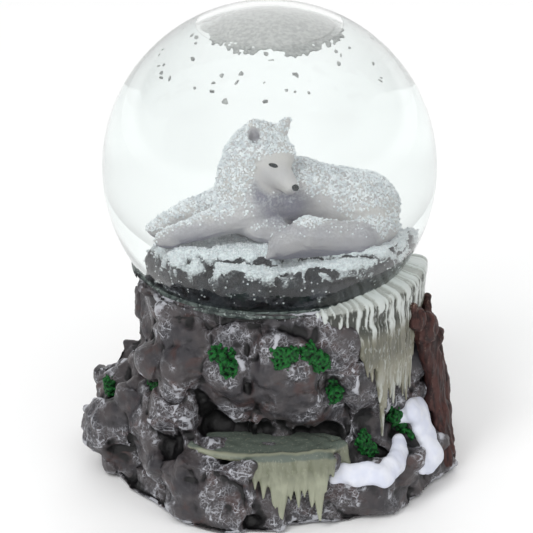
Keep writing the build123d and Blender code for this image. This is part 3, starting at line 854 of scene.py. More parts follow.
def ledge():
    skin = Skin(voxel(new_mesh("ledge", *raw("ledge_rock")), 0.45))
    low = ramp(-skin.points[:, 2], -59.5, -58.5)
    skin.smooth(16, low)
    drift = sway(skin.points, 8, 5)
    skin.points = skin.points + 1.6 * drift * (1 - low)[:, None]
    relief = 3.4 * facets(skin.points * (1, 1, 0.8), 7.0, 14) + 1.7 * facets(skin.points, 3.4, 15)
    relief += 1.0 * (layered(skin.points, 7, 16) - 0.5)
    side = 1 - ramp(skin.normals()[:, 2], 0.3, 0.8) * 0.75
    skin.push(relief * side * (1 - low))
    skin.smooth(3, low)
    centre = np.array([0, 0, GLOBE_Z])
    reach = np.linalg.norm(skin.points - centre, axis=1)
    skin.points = centre + (skin.points - centre) * (np.minimum(reach, INNER_R - 1.0) / reach)[:, None]
    broad = ridges(skin.points + 0.8 * drift, 2.3, 51, 1)
    skin.push((1 - low) * 0.22 * (broad - 0.3))
    normals = skin.normals()
    height = skin.points[:, 2]
    hollow = skin.hollow(22)
    top = ramp(normals[:, 2], 0.0, 0.45) * ramp(height, 69, 74)
    drips = ramp(layered(skin.points * (1, 1, 0.3), 4.6, 91), 0.47, 0.56) * ramp(height, 62, 73)
    crest = 0.85 * ramp(-skin.hollow(9), 0.04, 0.22) + 0.45 * ramp(broad, 0.80, 0.96)
    frost = np.clip(np.maximum(np.maximum(top, drips * 0.5), crest) - 0.6 * ramp(hollow, 0.1, 0.6), 0, 1)
    frost *= ramp(height, 61, 68) * (0.45 + 0.55 * ramp(height, 70, 75))
    skin.push(0.4 * (noise(skin.points, 0.8, 12) - 0.5) * frost * (1 - low))
    skin.mark("hollow", ramp(hollow, 0.05, 0.9)).mark("frost", frost).mark("foot", ramp(-height, -65, -61))
    skin.grains = frost**2
    return skin


# ------------------------------------------------------------------ wolf

def wolf():
    f = Field((-30, -22, 74), (33, 12, 111), 0.33)
    # trunk of the body, chest and haunch
    f.limb((-4.5, -2.5, 86), 7.2, (6, 1.0, 87.5), 7.4)
    f.limb((5, 1.5, 87), 7.6, (19, 2.8, 84.5), 7.2, 2.0)
    f.blob((20.8, -0.4, 84.4), (8.2, 7.2, 8.0), 1.6)
    f.blob((23.0, -2.5, 81.0), (6.0, 5.6, 5.0), 1.5)
    f.blob((-3.2, -5.5, 86.5), (5.8, 4.6, 6.6), 1.5)
    # neck ruff
    f.limb((-5.6, -2.4, 88), 6.8, (-4.4, -3.0, 97.0), 6.2, 1.6)
    f.blob((-4.6, -3.2, 93.0), (6.6, 6.0, 6.4), 1.4)
    f.blob((-3.8, -4.0, 98.8), (5.6, 5.2, 5.2), 1.4)
    # head, turned down and to the right
    f.blob((-2.2, -2.8, 100.2), (6.0, 5.4, 5.6), 1.2)
    f.blob((0.0, -5.6, 97.0), (4.4, 4.2, 4.6), 1.2)
    f.limb((0.8, -6.2, 96.9), 3.6, (4.9, -8.9, 92.9), 1.9, 1.1)
    f.limb((1.0, -5.8, 95.2), 3.1, (4.5, -8.2, 92.0), 1.5, 0.9)
    f.blob((2.4, -4.4, 98.8), (3.4, 3.6, 3.6), 1.2)
    f.blob((-2.4, -6.0, 95.4), (3.2, 2.6, 3.6), 1.2)
    # mouth
    f.limb((2.2, -9.2, 93.4), 0.26, (5.6, -10.2, 91.9), 0.22, 0.3, carve=True)
    # ears
    side = (0.15, -1.0, 0.1)
    f.limb((-3.5, -4.4, 102.2), 2.6, (-3.8, -3.6, 106.0), 1.3, 0.7, flat=(side, 0.6))
    f.limb((1.8, -2.6, 102.8), 2.4, (4.2, -2.2, 106.4), 0.9, 0.7, flat=(side, 0.6))
    f.limb((-3.5, -6.2, 103.2), 1.5, (-3.8, -5.2, 105.8), 0.7, 0.3, carve=True)
    # forelegs over the ledge
    f.limb((-5, -6.0, 85.5), 4.4, (-15.5, -9.2, 82.6), 2.7, 1.2)
    f.limb((-15.5, -9.2, 82.6), 2.7, (-22.6, -10.2, 80.6), 2.2, 1.0)
    f.blob((-24.2, -10.4, 79.6), (2.9, 2.5, 2.0), 0.8)
    f.limb((-6, -0.8, 86.5), 4.6, (-17, -2.2, 84.2), 2.8, 1.2)
    f.limb((-17, -2.2, 84.2), 2.8, (-23.2, -3.4, 81.6), 2.3, 1.0)
    f.blob((-25.0, -3.8, 80.4), (2.8, 2.6, 2.1), 0.8)
    for x, y, z in ((-25.8, -11.8, 79.2), (-26.2, -10.2, 79.3), (-26.4, -4.8, 80.1), (-26.6, -3.0, 80.2)):
        f.blob((x, y, z), (1.3, 0.9, 1.2), 0.35)
    # ruff of the chest, between the foreleg and the tail
    f.blob((-1.0, -7.6, 82.0), (5.0, 3.6, 3.4), 1.0)
    f.blob((2.4, -9.4, 80.6), (3.6, 2.6, 2.8), 0.9)
    # tail, curled round the front
    f.limb((25.5, -3.5, 80.0), 3.2, (21, -11.6, 80.2), 4.0, 1.4)
    f.limb((21, -11.6, 80.2), 4.0, (9, -14.4, 81.8), 4.6, 1.5)
    f.limb((9, -14.4, 81.8), 4.6, (3.2, -15.8, 80.2), 3.4, 1.2)
    f.limb((3.2, -15.8, 80.2), 3.4, (-0.4, -17.4, 77.6), 0.6, 1.0)
    bones = f.bones
    skin = Skin(f.mesh("wolf"))
    skin.smooth(2)
    strokes = flow(skin.points, bones)
    face = ramp(-np.linalg.norm((skin.points - (1.8, -8.6, 95.6)) / (4.9, 4.4, 5.0), axis=1), -1.25, -0.85)
    rough = 1 - 0.85 * face
    locks = ridges(strokes, 1.9, 3) * 0.5 + ridges(strokes, 1.0, 9) * 0.25
    locks = locks + 0.9 * (layered(strokes, 3.2, 15) - 0.5)
    skin.push((locks - 0.25) * 0.42 * rough)
    normals = skin.normals()
    height = skin.points[:, 2]
    facing = normals[:, 2] * 0.75 + normals[:, 1] * 0.25
    frost = ramp(facing + 0.5 * (layered(skin.points, 4, 5) - 0.5), -0.45, 0.40) * (1 - 0.9 * face)
    tail = ramp(-skin.points[:, 1], 9.5, 12.5) * ramp(-height, -86.5, -85.0)
    ruff = ramp(-skin.points[:, 0], 1.5, 4.0) * ramp(height, 88.0, 92.0)
    frost = np.clip(np.maximum(frost * (1 - 0.55 * tail), 0.85 * ruff * (1 - face)), 0, 1)
    skin.push(0.35 * (noise(skin.points, 0.85, 8) - 0.45) * frost)
    # where painted shade goes: under the body and chin, on the throat and tail and in the near ear
    shade = ramp(-normals[:, 2], 0.05, 0.75) * ramp(-height, -93, -84)
    under = ramp(-np.linalg.norm((skin.points - (3.0, -7.5, 87.5)) / (7.5, 6.0, 5.0), axis=1), -1.35, -0.45)
    throat = ramp(-np.linalg.norm((skin.points - (-2.6, -7.4, 92.0)) / (2.6, 3.4, 4.4), axis=1), -1.3, -0.6)
    shade = np.clip(0.5 * shade + 0.8 * under + 0.65 * throat + 0.42 * tail, 0, 0.85)
    ear = ramp(-np.linalg.norm((skin.points - (-3.7, -5.2, 104.2)) / (1.8, 1.6, 2.1), axis=1), -1.1, -0.6)
    shade = np.maximum(shade * (1 - face), 0.5 * ear)
    frost = frost * (1 - ear)
    skin.mark("hollow", ramp(skin.hollow(24), 0.0, 1.1)).mark("shade", shade)
    skin.mark("frost", frost)
    skin.grains = frost * ramp(frost, 0.15, 0.6) * (1 - 0.5 * tail) * (1 - np.clip(1.3 * shade, 0, 1)) ** 2
    return skin


def glitter(name, skin, share, count, seed):
    """Grains of glitter frost stuck to a figure, thickest where share is high."""
    rng = random.Random(seed)
    points, normals = skin.points, skin.normals()
    running = np.cumsum(share)
    places = np.searchsorted(running, [rng.random() * running[-1] for _ in range(count)])
    parts = []
    for at in places:
        grain, faces = ball_points(rng.uniform(0.17, 0.36), rng)
        parts.append((grain + points[at] + normals[at] * rng.uniform(-0.05, 0.2), faces))
    mesh = new_mesh(name, *joined(parts))
    mesh.shade_flat()
    return mesh


def bead(name, centre, radii, turn, dent=0.12, seed=3):
    """A small modelled detail such as an eye or a nose."""
    reach = max(radii) + 0.6
    centre = np.array(centre, float)
    f = Field(centre - reach, centre + reach, max(radii) / 9)
    f.blob(centre, radii, 0, turn=turn)
    skin = Skin(f.mesh(name))
    skin.push(dent * (noise(skin.points, max(radii), seed) - 0.5))
    return skin.done()


# ------------------------------------------------------------------ ice

def curtain_mesh():
    f = Field((10, -50, 16), (50, 2, 68), FIELD_STEP)
    rng = random.Random(5)

    # the sheet over the rim
    azimuth = 19.0
    while azimuth < 88:
        grow = min(1, (azimuth - 18) / 24)
        inner = polar(azimuth, 42.0, RIM_Z + 0.2 + 0.5 * grow)
        shoulder = polar(azimuth, 42.4 + 3.2 * grow, RIM_Z + 0.1 * grow - 0.4)
        fall = 0.6 + 8.2 * grow + rng.uniform(-1.2, 1.2) * grow
        low = polar(azimuth, 42.8 + 3.8 * grow, RIM_Z - 0.8 - fall)
        thick = 0.55 + 1.15 * grow
        f.limb(inner, thick, shoulder, thick + 0.15 * grow, 1.2)
        f.limb(shoulder, thick + 0.15 * grow, low, 0.45 + 0.25 * grow, 0.6)
        if rng.random() < 0.75:
            drop = low + polar(azimuth, 0.4, -rng.uniform(0.8, 3.4) * grow)
            f.limb(low, 0.45 + 0.25 * grow, drop, 0.3, 0.4)
        azimuth += 1.25
    # the curtain and its icicles
    lengths = {37: 43, 39: 41, 41: 44, 43: 33, 44.5: 21.5, 46.5: 30, 48.5: 33, 50.5: 30.5, 52.5: 36,
               54.5: 34, 56.5: 31, 59: 28.5, 61.5: 32, 64: 42}
    for azimuth, tip_z in lengths.items():
        top_r = 46.0 + rng.uniform(-0.3, 0.4)
        wide = 1.7 + rng.uniform(-0.2, 0.3)
        knee = polar(azimuth + rng.uniform(-0.4, 0.4), 47.0, (56 + tip_z) / 2 + rng.uniform(-2, 2))
        f.limb(polar(azimuth, top_r, 57), wide, knee, wide * 0.85, 0.9)
        f.limb(knee, wide * 0.85, polar(azimuth, 47.9, tip_z), 0.35, 0.6)
    skin = Skin(f.mesh("curtain"))
    skin.smooth(2)
    x, y, z = skin.points.T
    radius = np.hypot(x, y)
    strokes = np.stack([np.arctan2(x, -y) * 46, radius * 0.07, z * 0.07], axis=1)
    strokes += 0.5 * sway(skin.points, 3, 3)
    groove = ramp(layered(strokes, 0.8, 13, 2), 0.32, 0.68)
    skin.push((0.30 + 0.25 * ramp(z, 54, 60)) * (groove - 0.45) + 0.3 * (layered(skin.points, 2.4, 19) - 0.5))
    normals = skin.normals()
    top = ramp(normals[:, 2], 0.20, 0.65) * ramp(z, 58, 62)
    # crests of the strokes: pale, partly frost and partly painted highlight; painted shade between them
    crest_frost_and_highlight = ramp(groove, 0.35, 0.8)
    upper = ramp(z, 53, 58)
    pale = np.maximum(top * (0.5 + 0.5 * crest_frost_and_highlight), 0.95 * upper * crest_frost_and_highlight)
    pale = np.maximum(pale, 0.5 * ramp(-z, -48, -34) * crest_frost_and_highlight)
    # painted shade: dark between the crests in the upper part, and darker in a band from 42 to 58 mm high
    dark = upper * (1 - crest_frost_and_highlight) * (1 - 0.6 * top)
    dark = dark + 0.6 * ramp(-z, -58, -52) * ramp(z, 42, 49) * (1 - 0.5 * crest_frost_and_highlight)
    skin.mark("pale", np.clip(pale, 0, 1)).mark("dark", np.clip(dark, 0, 1))
    return skin


def pond_mesh():
    f = Field((-27, -60, 0), (29, -30, 26), FIELD_STEP)
    rng = random.Random(9)
    outline = [  # azimuth, radius
        (-31, 42.5), (-29, 47.6), (-24, 49.2), (-18, 50.2), (-10, 50.4), (-4, 50.2), (4, 50.0), (10, 49.8),
        (17, 49.4), (22, 48.8), (27, 46.6), (28, 43.5), (24, 39.5), (12, 36.2), (0, 35.4), (-12, 35.8),
        (-24, 38.6),
    ]
    points = [polar(a, r, POND_Z + 0.2) for a, r in outline]
    middle = np.mean(points, axis=0)
    for a, b in zip(points, points[1:] + points[:1]):
        f.limb(a, 0.95, b, 0.95, 0.5)
        for share in (0.2, 0.45, 0.7):
            f.limb(a + (middle - a) * share, 1.1, b + (middle - b) * share, 1.1, 1.2, flat=((0, 0, 1), 0.75))
    f.blob(middle, (20, 8.5, 1.0), 1.0)
    drops = [  # azimuth, height of the tip, half width
        (-7.0, 18.5, 1.2), (-4.4, 14.5, 1.8), (-1.6, 11.5, 2.0), (1.4, 7.5, 2.1), (4.0, 2.4, 2.4),
        (6.6, 11.0, 2.0), (8.6, 8.4, 1.6), (11.2, 11.5, 2.0), (13.2, 8.0, 1.7), (15.6, 2.8, 2.3),
        (17.8, 12.5, 1.9), (20.0, 17.0, 1.4),
    ]
    for azimuth, tip_z, wide in drops:
        lip = polar(azimuth, 50.4, POND_Z)
        knee = polar(azimuth, 53.0, (POND_Z + tip_z) / 2 + 2.0)
        f.limb(lip, wide, knee, wide * 0.9, 1.0)
        f.limb(knee, wide * 0.9, polar(azimuth + rng.uniform(-0.5, 0.5), 54.6, tip_z), 0.35, 0.6)
    for azimuth, tip_z, wide in ((24.0, 16.0, 1.4), (26.0, 14.2, 1.6), (28.0, 16.5, 1.3)):
        f.limb(polar(azimuth, 46.4, POND_Z), wide, polar(azimuth, 49.4, tip_z), 0.8, 1.0)
    skin = Skin(f.mesh("pond"))
    skin.smooth(2)
    top = ramp(skin.points[:, 2], POND_Z + 0.1, POND_Z + 0.7)
    strokes = skin.points * (1, 1, 0.14)
    ribs, waves = ridges(strokes, 1.8, 29) - 0.4, layered(skin.points, 6, 39) - 0.5
    skin.push((1 - top) * 0.4 * ribs + top * 0.22 * waves)
    x, y, z = skin.points.T
    radius = np.hypot(x, y)
    falls = ramp(-z, -20.5, -14)
    rim = top * ramp(-np.abs(radius - 50.2), -1.4, -0.2)
    flecks = 0.25 * ramp(layered(strokes, 1.5, 61), 0.5, 0.62) * (1 - top)
    pale = np.clip(np.maximum(0.75 * falls, 0.85 * rim) + flecks, 0, 1)
    skin.mark("pale", pale).mark("dark", top * (1 - pale))
    return skin


# ------------------------------------------------------------------ snow and moss

# The snow's lumps, left to right: azimuth, height, half width, half thickness
SNOW_LUMPS = {
    "front": [
        (21.5, 14.4, 1.8, 1.2), (25, 15.6, 2.8, 1.7), (28.5, 15.2, 3.3, 1.9), (32, 15.4, 3.2, 1.8),
        (36, 14.4, 3.3, 1.9), (40, 15.2, 3.2, 1.8), (44, 15.0, 3.4, 1.9), (48.5, 15.8, 3.2, 1.8),
        (51.5, 17.2, 2.8, 1.7),
    ],
    "right": [
        (53.5, 11.2, 3.0, 1.7), (57.5, 10.8, 4.2, 2.0), (60.5, 12.4, 4.2, 2.0), (64.5, 15.2, 4.8, 2.3),
        (63.5, 18.6, 4.4, 2.0), (65, 22.4, 5.0, 2.4), (60.5, 24.6, 3.8, 1.9), (56.5, 24.0, 2.6, 1.6),
    ],
}


def snow_patch(name, surface, lumps):
    """Puffy snow: flattened lumps fused together, each (azimuth, height, half width, half thickness)."""
    spots = [(polar(a, surface(a, z) - 0.3, z), polar(a, 1, 0), wide, thick) for a, z, wide, thick in lumps]
    places = np.array([spot[0] for spot in spots])
    reach = max(spot[2] for spot in spots) + 2
    f = Field(places.min(axis=0) - reach, places.max(axis=0) + reach, FIELD_STEP)
    for (place, out, wide, thick), (other, _, other_wide, _) in zip(spots, spots[1:]):
        out = out + np.array([0, 0, 0.5])
        f.limb(place, wide, other, other_wide, 1.0, flat=(out, thick / wide))
    skin = Skin(f.mesh(name))
    skin.smooth(3)
    skin.push(0.7 * (layered(skin.points, 3.2, 44) - 0.5))
    return skin.mark("hollow", ramp(skin.hollow(16), 0.0, 0.8))


def ball_points(radius, rng):
    """A small rough ball, as points and faces."""
    bm = bmesh.new()
    bmesh.ops.create_icosphere(bm, subdivisions=1, radius=radius)
    points = np.array([v.co[:] for v in bm.verts]) * rng.uniform(0.9, 1.1)
    faces = [[v.index for v in f.verts] for f in bm.faces]
    bm.free()
    return points, faces


def tuft(node, seed, surface):
    """Granular moss: crumbs packed over the CAD tuft, fused into one closed lump."""
    points, faces = raw(node)
    rng = random.Random(seed)
    corners = points[[f[:3] for f in faces]]
    sizes = np.linalg.norm(np.cross(corners[:, 1] - corners[:, 0], corners[:, 2] - corners[:, 0]), axis=1)
    running = np.cumsum(sizes)
    centre = points.mean(axis=0)
    azimuth, reach = math.degrees(math.atan2(centre[0], -centre[1])), math.hypot(centre[0], centre[1])
    shift = polar(azimuth, min(max(surface(azimuth, centre[2]) + 0.4 - reach, -6), 6), 0)
    parts = [(centre + (points - centre) * 0.66, faces)]
    for _ in range(int(running[-1] / 2 * 1.1)):
        pick = int(np.searchsorted(running, rng.random() * running[-1]))
        a, b, c = corners[min(pick, len(corners) - 1)]
        u, v = sorted((rng.random(), rng.random()))
        at = a * u + b * (v - u) + c * (1 - v)
        at = at + (at - centre) * rng.uniform(-0.40, -0.04)
        crumb, crumb_faces = ball_points(rng.uniform(0.38, 0.72), rng)
        parts.append((crumb + at, crumb_faces))
    points, faces = joined(parts)
    skin = Skin(voxel(new_mesh(node, points + shift, faces), 0.24))
    skin.smooth(1)
    return skin.mark("hollow", skin.hollow(9))


# ------------------------------------------------------------------ trunk

def trunk():
    f = Field((34, -30, 0.6), (62, 8, 62), FIELD_STEP)
    strands = [  # azimuth, radius, height, half width
        [(70, 47, 53, 2), (73, 49.6, 45, 3.2), (76, 51.4, 34, 2.7), (77, 53.4, 19, 2.8), (77, 55.2, 4, 3.4)],
        [(66, 47, 54, 1.5), (69, 49.8, 43, 2.2), (73, 51.6, 31, 2), (73, 53.8, 16, 2.2), (71, 56.2, 4, 2.8)],
        [(84, 46.6, 50, 1.4), (84, 49.8, 41, 2.5), (85, 52, 27, 2.4), (85, 54, 12, 2.6), (84, 55.2, 4, 3.1)],
        [(77, 49.0, 50.0, 1.0), (80, 52.0, 39, 1.3), (81, 54.2, 23, 1.4), (79, 56.8, 8, 1.5)],
        [(70, 49.6, 48.0, 0.9), (75, 51.9, 37, 1.2), (75, 54.4, 21, 1.3), (74, 57.2, 7, 1.5)],
    ]
    for strand in strands:
        for (a, r, z, wide), (b, s, w, thin) in zip(strand, strand[1:]):
            f.limb(polar(a, r, z), wide, polar(b, s, w), thin, 0.7)
    f.blob(polar(70, 49.8, 49.0), (4.4, 4.6, 4.8), 1.0)
    f.blob(polar(65, 48.8, 53.5), (3.0, 3.0, 3.2), 0.8)
    f.blob(polar(76, 51.4, 44.0), (3.0, 3.0, 3.0), 0.8)
    f.blob(polar(69, 54.6, 49.5), (1.5, 1.5, 2.0), 0.6, carve=True)
    f.limb(polar(68, 48.0, 53), 1.6, polar(61, 48.6, 58.5), 0.7, 0.6)
    f.limb(polar(76, 48.0, 50), 1.6, polar(82, 48.0, 55), 0.8, 0.6)
    skin = Skin(f.mesh("trunk"))
    drift = sway(skin.points, 6, 1)
    skin.points = skin.points + 1.8 * drift
    skin.points[:, 2] = np.maximum(skin.points[:, 2], ON_FLOOR)
    warped = skin.points * (1, 1, 0.2)
    skin.push(0.75 * (ridges(warped, 2.2, 17) - 0.35) + 0.3 * (layered(skin.points, 2, 71) - 0.5))
    skin.points[:, 2] = np.maximum(skin.points[:, 2], ON_FLOOR)
    tan = 0.35 + 0.65 * ramp(skin.points[:, 2], 36, 44)
    return skin.mark("hollow", ramp(skin.hollow(12), 0.0, 0.5)).mark("edge", -skin.hollow(5)).mark("tan", tan)


# ------------------------------------------------------------------ globe

def lathe(name, profile, turns=192):
    """A turned mesh from (radius, height) pairs; ends at radius 0 are closed with a point."""
    points, faces, rings = [], [], []
    for radius, height in profile:
        start = len(points)
        if radius < 1e-6:
            points.append((0, 0, height))
            rings.append([start] * turns)
            continue
        for step in range(turns):
            angle = 2 * math.pi * step / turns
            points.append((radius * math.cos(angle), radius * math.sin(angle), height))
        rings.append(list(range(start, start + turns)))
    for low, high in zip(rings, rings[1:]):
        for i in range(turns):
            j = (i + 1) % turns
            face = [low[i], low[j], high[j], high[i]]
            faces.append([v for n, v in enumerate(face) if v not in face[:n]])
    return new_mesh(name, points, faces)


def arc(radius, first, last, count, centre=GLOBE_Z):
    """Points on the globe's section, from one height to another."""
    low, high = (math.asin((z - centre) / radius) for z in (first, last))
    angles = [low + (high - low) * i / count for i in range(count + 1)]
    return [(radius * math.cos(angle), centre + radius * math.sin(angle)) for angle in angles]


def globe_pieces():
    outer_neck_z = GLOBE_Z - math.sqrt(GLOBE_R**2 - NECK_R**2)
    inner_neck_z = GLOBE_Z - math.sqrt(INNER_R**2 - NECK_IN_R**2)
    lip = [(NECK_IN_R, 0), (LIP_R - 0.4, 0), (LIP_R, 0.4), (LIP_R, 1.8), (LIP_R - 0.5, 2.2), (NECK_R, 2.3)]
    outside = [(radius, NECK_FOOT_Z + rise) for radius, rise in lip]
    outside += arc(GLOBE_R, outer_neck_z, GLOBE_Z + GLOBE_R, 110)[:-1] + [(0, GLOBE_Z + GLOBE_R)]
    inside = [(0, GLOBE_Z + INNER_R)] + arc(INNER_R, WATER_Z, GLOBE_Z + INNER_R, 24)[-2:0:-1]
    inside += arc(INNER_R, inner_neck_z, WATER_Z, 110)[::-1]
    profile = outside + inside + [(NECK_IN_R, NECK_FOOT_Z)]
    glass = lathe("glass_globe_clear", profile)
    water_profile = [(0, PLUG_TOP_Z + 0.05), (NECK_IN_R - 0.08, PLUG_TOP_Z + 0.05)]
    water_profile += [(r - 0.08, z) for r, z in arc(INNER_R, inner_neck_z, WATER_Z, 110)] + [(0, WATER_Z)]
    water = lathe("water", water_profile)
    return glass, water


def globe():
    glass, water = globe_pieces()
    outer = clear_paint("glass_outer", GLASS_IOR, (0.975, 0.992, 0.985), (0.97, 0.985, 0.98))
    wet = clear_paint("glass_wet_face", GLASS_IOR / WATER_IOR, (0.985, 0.996, 0.993), (0.99, 0.995, 0.995))
    piece = add("glass_globe_clear", glass, outer, replaces=["glass_globe"])
    glass.materials.append(wet)
    for face in glass.polygons:
        middle = np.array(face.center) / MM
        to_centre = math.sqrt(middle[0] ** 2 + middle[1] ** 2 + (middle[2] - GLOBE_Z) ** 2)
        inner = to_centre < (GLOBE_R + INNER_R) / 2 and middle[2] > 58
        neck = middle[2] <= 58.6 and math.hypot(middle[0], middle[1]) < NECK_IN_R + 0.2
        if (inner and middle[2] < WATER_Z) or neck:
            face.material_index = 1
    surface = clear_paint("water_surface", WATER_IOR, (0.99, 1.0, 1.0), (0.99, 1.0, 1.0))
    side = bpy.data.materials.new("water_side")
    side.use_nodes = True
    tree = side.node_tree
    tree.nodes.remove(tree.nodes["Principled BSDF"])
    see = tree.nodes.new("ShaderNodeBsdfTransparent")
    see.inputs["Color"].default_value = (0.985, 0.997, 0.996, 1)
    tree.links.new(see.outputs[0], tree.nodes["Material Output"].inputs["Surface"])
    water_piece = add("water", water, surface, replaces=["water_fill"])
    water.materials.append(side)
    for face in water.polygons:
        if face.normal.z < 0.9 or face.center.z < 0.1:
            face.material_index = 1
    return piece, water_piece


def chip(centre, size, thick, rng, flat=False):
    """One flake: a thin irregular plate, as points and faces."""
    sides = rng.randint(5, 7)
    ring = []
    for step in range(sides):
        angle = 2 * math.pi * (step + rng.uniform(-0.25, 0.25)) / sides
        reach = size * rng.uniform(0.32, 0.62)
        ring.append((reach * math.cos(angle), reach * math.sin(angle)))
    under = [(x, y, -thick / 2) for x, y in ring]
    points = np.array(under + [(x * 0.85, y * 0.85, thick / 2) for x, y in ring])
    faces = [list(range(sides))[::-1], list(range(sides, 2 * sides))]
    faces += [[i, (i + 1) % sides, sides + (i + 1) % sides, sides + i] for i in range(sides)]
    tilt = 0.25 if flat else 1.5
    turn = Euler((rng.uniform(-tilt, tilt), rng.uniform(-tilt, tilt), rng.uniform(0, 6.28))).to_matrix()
    return points @ np.array(turn).T + centre, faces


def raft(material):
    """The floating snow: chips heaped up under the dome, ragged where they trail into the water."""
    rng = random.Random(17)
    parts = []

    def shy(azimuth):
        """The raft falls short of the glass on the left."""
        return 1 - 0.15 * max(0.0, -math.sin(math.radians(azimuth)))
    crown = [(r, GLOBE_Z + math.sqrt((INNER_R - RAFT_GAP) ** 2 - r * r)) for r in (HEAP_R, 17.5, 15, 11, 6)]
    dome_points, dome_faces = [(0, 0, crown[-1][1] + 0.3)], []
    for r, z in [(HEAP_R, WATER_Z - 0.6)] + crown:
        dome_points += [tuple(polar(7.5 * n, r * shy(7.5 * n), z)) for n in range(48)]
    for ring in range(len(crown)):
        for n in range(48):
            low, high = 1 + ring * 48, 1 + (ring + 1) * 48
            dome_faces.append([low + n, low + (n + 1) % 48, high + (n + 1) % 48, high + n])
    last = 1 + len(crown) * 48
    dome_faces += [[last + n, last + (n + 1) % 48, 0] for n in range(48)]
    dome_faces.append([1 + n for n in reversed(range(48))])
    parts.append((dome_points, dome_faces))
    for _ in range(1000):
        azimuth = rng.uniform(0, 360)
        turn = math.radians(azimuth)
        spread = noise(np.array([[math.cos(turn) * 3, math.sin(turn) * 3, 0.5]]), 1.0, 3)[0]
        trail = 0.4 + 3.2 * spread + (1.2 if 10 < azimuth < 75 else 1.8 if 260 < azimuth < 350 else 0)
        reach = STREWN_R * shy(azimuth) + trail * rng.random()
        height = GLOBE_Z + math.sqrt((INNER_R - RAFT_GAP - 0.7) ** 2 - reach**2) - rng.uniform(0, 0.9)
        place = polar(azimuth, reach, min(height, WATER_Z - 0.2))
        parts.append(chip(place, rng.uniform(0.9, 1.7), 0.5, rng, flat=True))
    skin = Skin(voxel(new_mesh("raft", *joined(parts)), 0.27))
    inside = ramp(np.hypot(skin.points[:, 0], skin.points[:, 1]) * -1, -18.4, -17.0)
    skin.push(0.5 * inside * (layered(skin.points, 2.0, 7) - 0.7))
    add("snow_raft_heap", skin.done(), material, body=SNOW, replaces=["snow_raft"])


def loose(material):
    """A flake at each of the CAD model's chips."""
    bm = bmesh.new()
    bm.from_mesh(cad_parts["loose_flakes"].data)
    bmesh.ops.remove_doubles(bm, verts=bm.verts[:], dist=1e-6)
    bm.verts.ensure_lookup_table()
    seen, centres = set(), []
    for vert in bm.verts:
        if vert.index in seen:
            continue
        group, queue = [], [vert]
        seen.add(vert.index)
        while queue:
            here = queue.pop()
            group.append(here.co)
            for edge in here.link_edges:
                other = edge.other_vert(here)
                if other.index not in seen:
                    seen.add(other.index)
                    queue.append(other)
        centres.append(np.mean([c[:] for c in group], axis=0) / MM)
    bm.free()
    rng = random.Random(23)
    parts = [chip(centre, rng.uniform(0.9, 1.9), 0.4, rng) for centre in sorted(map(tuple, centres))]
    mesh = new_mesh("loose", *joined(parts))
    mesh.shade_flat()
    add("loose_snow_flakes", mesh, material, body=SNOW, replaces=["loose_flakes"])


# ------------------------------------------------------------------ build everything

def tree_of(mesh):
    return BVHTree.FromPolygons([v.co / MM for v in mesh.vertices], [list(p.vertices) for p in mesh.polygons])


def outside_finder(mesh):
    """A function that gives the rock's outer radius at an azimuth and a height."""
    tree = tree_of(mesh)

    def radius(azimuth, height):
        hit = tree.ray_cast(Vector(polar(azimuth, 80, height)), Vector(polar(azimuth, -1, 0)))[0]
        return 44.0 if hit is None else math.hypot(hit.x, hit.y)

    return radius


def toucher(mesh):
    """A function that gives the first point of a figure met from a place, in mm, along a direction."""
    tree = tree_of(mesh)

    def point(start, way):
        hit = tree.ray_cast(Vector(start), Vector(way))[0]
        return tuple(hit + Vector(way) * 0.15) if hit else (0.0, -8.0, 98.0)

    return point


# Eyes and nose: name, where a line of sight starts, its way to the coat, radii, (axis, degrees) of the turn
BEADS = [
    ("wolf_eye_near", (0.9, -60, 98.2), (0, 1, 0), (1.2, 0.5, 0.5), ((0, 1, 0), 16)),
    ("wolf_eye_far", (60, -3.4, 98.8), (-1, 0, 0), (0.5, 0.9, 0.42), ((1, 0, 0), 10)),
    ("wolf_nose", (6.0, -60, 92.9), (0, 1, 0), (0.95, 0.85, 0.8), ((0, 1, 0), 30)),
]


def build():
    rock = base_rock()
    rock_mesh = rock.done()
    surface = outside_finder(rock_mesh)
    snow = snow_paint()
    for side, lumps in SNOW_LUMPS.items():
        patch = snow_patch("snow_" + side, surface, lumps)
        add("snow_" + side, patch.done(), snow, replaces=["snow_patch_" + side])
    add("rock_base", rock_mesh, rock_paint(), replaces=["base_casting"])
    shelf, figure_skin, frost = ledge(), wolf(), frost_paint()
    add("rock_ledge", shelf.done(), ledge_paint(), replaces=["ledge_rock"])
    add("ledge_frost", glitter("ledge_frost", shelf, shelf.grains, 4500, 3), frost)
    figure = figure_skin.done()
    add("wolf_frost", glitter("wolf_frost", figure_skin, figure_skin.grains, 9000, 4), frost)
    add("wolf", figure, fur_paint(), replaces=["wolf_figure"])
    coat = toucher(figure)
    dark = plain_paint("eye_and_nose_paint", (0.01, 0.012, 0.014), (0.03, 0.035, 0.04), 0.4, 0.12, 0.05)
    for name, start, way, radii, turn in BEADS:
        add(name, bead(name, coat(start, way), radii, turn), dark)
    fall_paint = ice_paint("ice_fall_paint", (0.065, 0.070, 0.058), (0.31, 0.30, 0.225), (0.78, 0.83, 0.81))
    add("ice_fall", curtain_mesh().done(), fall_paint, replaces=["ice_curtain"])
    pond_paint = ice_paint("pond_paint", (0.16, 0.195, 0.165), (0.25, 0.265, 0.19), (0.46, 0.48, 0.36))
    add("pond_sheet", pond_mesh().done(), pond_paint, replaces=["pond_ice"])
    add("dead_trunk", trunk().done(), bark_paint(), replaces=["tree_trunk"])
    moss = moss_paint()
    for number, node in enumerate(sorted(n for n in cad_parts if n.startswith("moss_"))):
        add("tuft_" + node[5:], tuft(node, 100 + number, surface).done(), moss, replaces=[node])
    flakes = flake_paint()
    raft(flakes)
    loose(flakes)
    globe()


def keep(node, material):
    """A CAD node that stays, with its finish."""
    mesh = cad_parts[node].data
    mesh.materials.clear()
    mesh.materials.append(material)


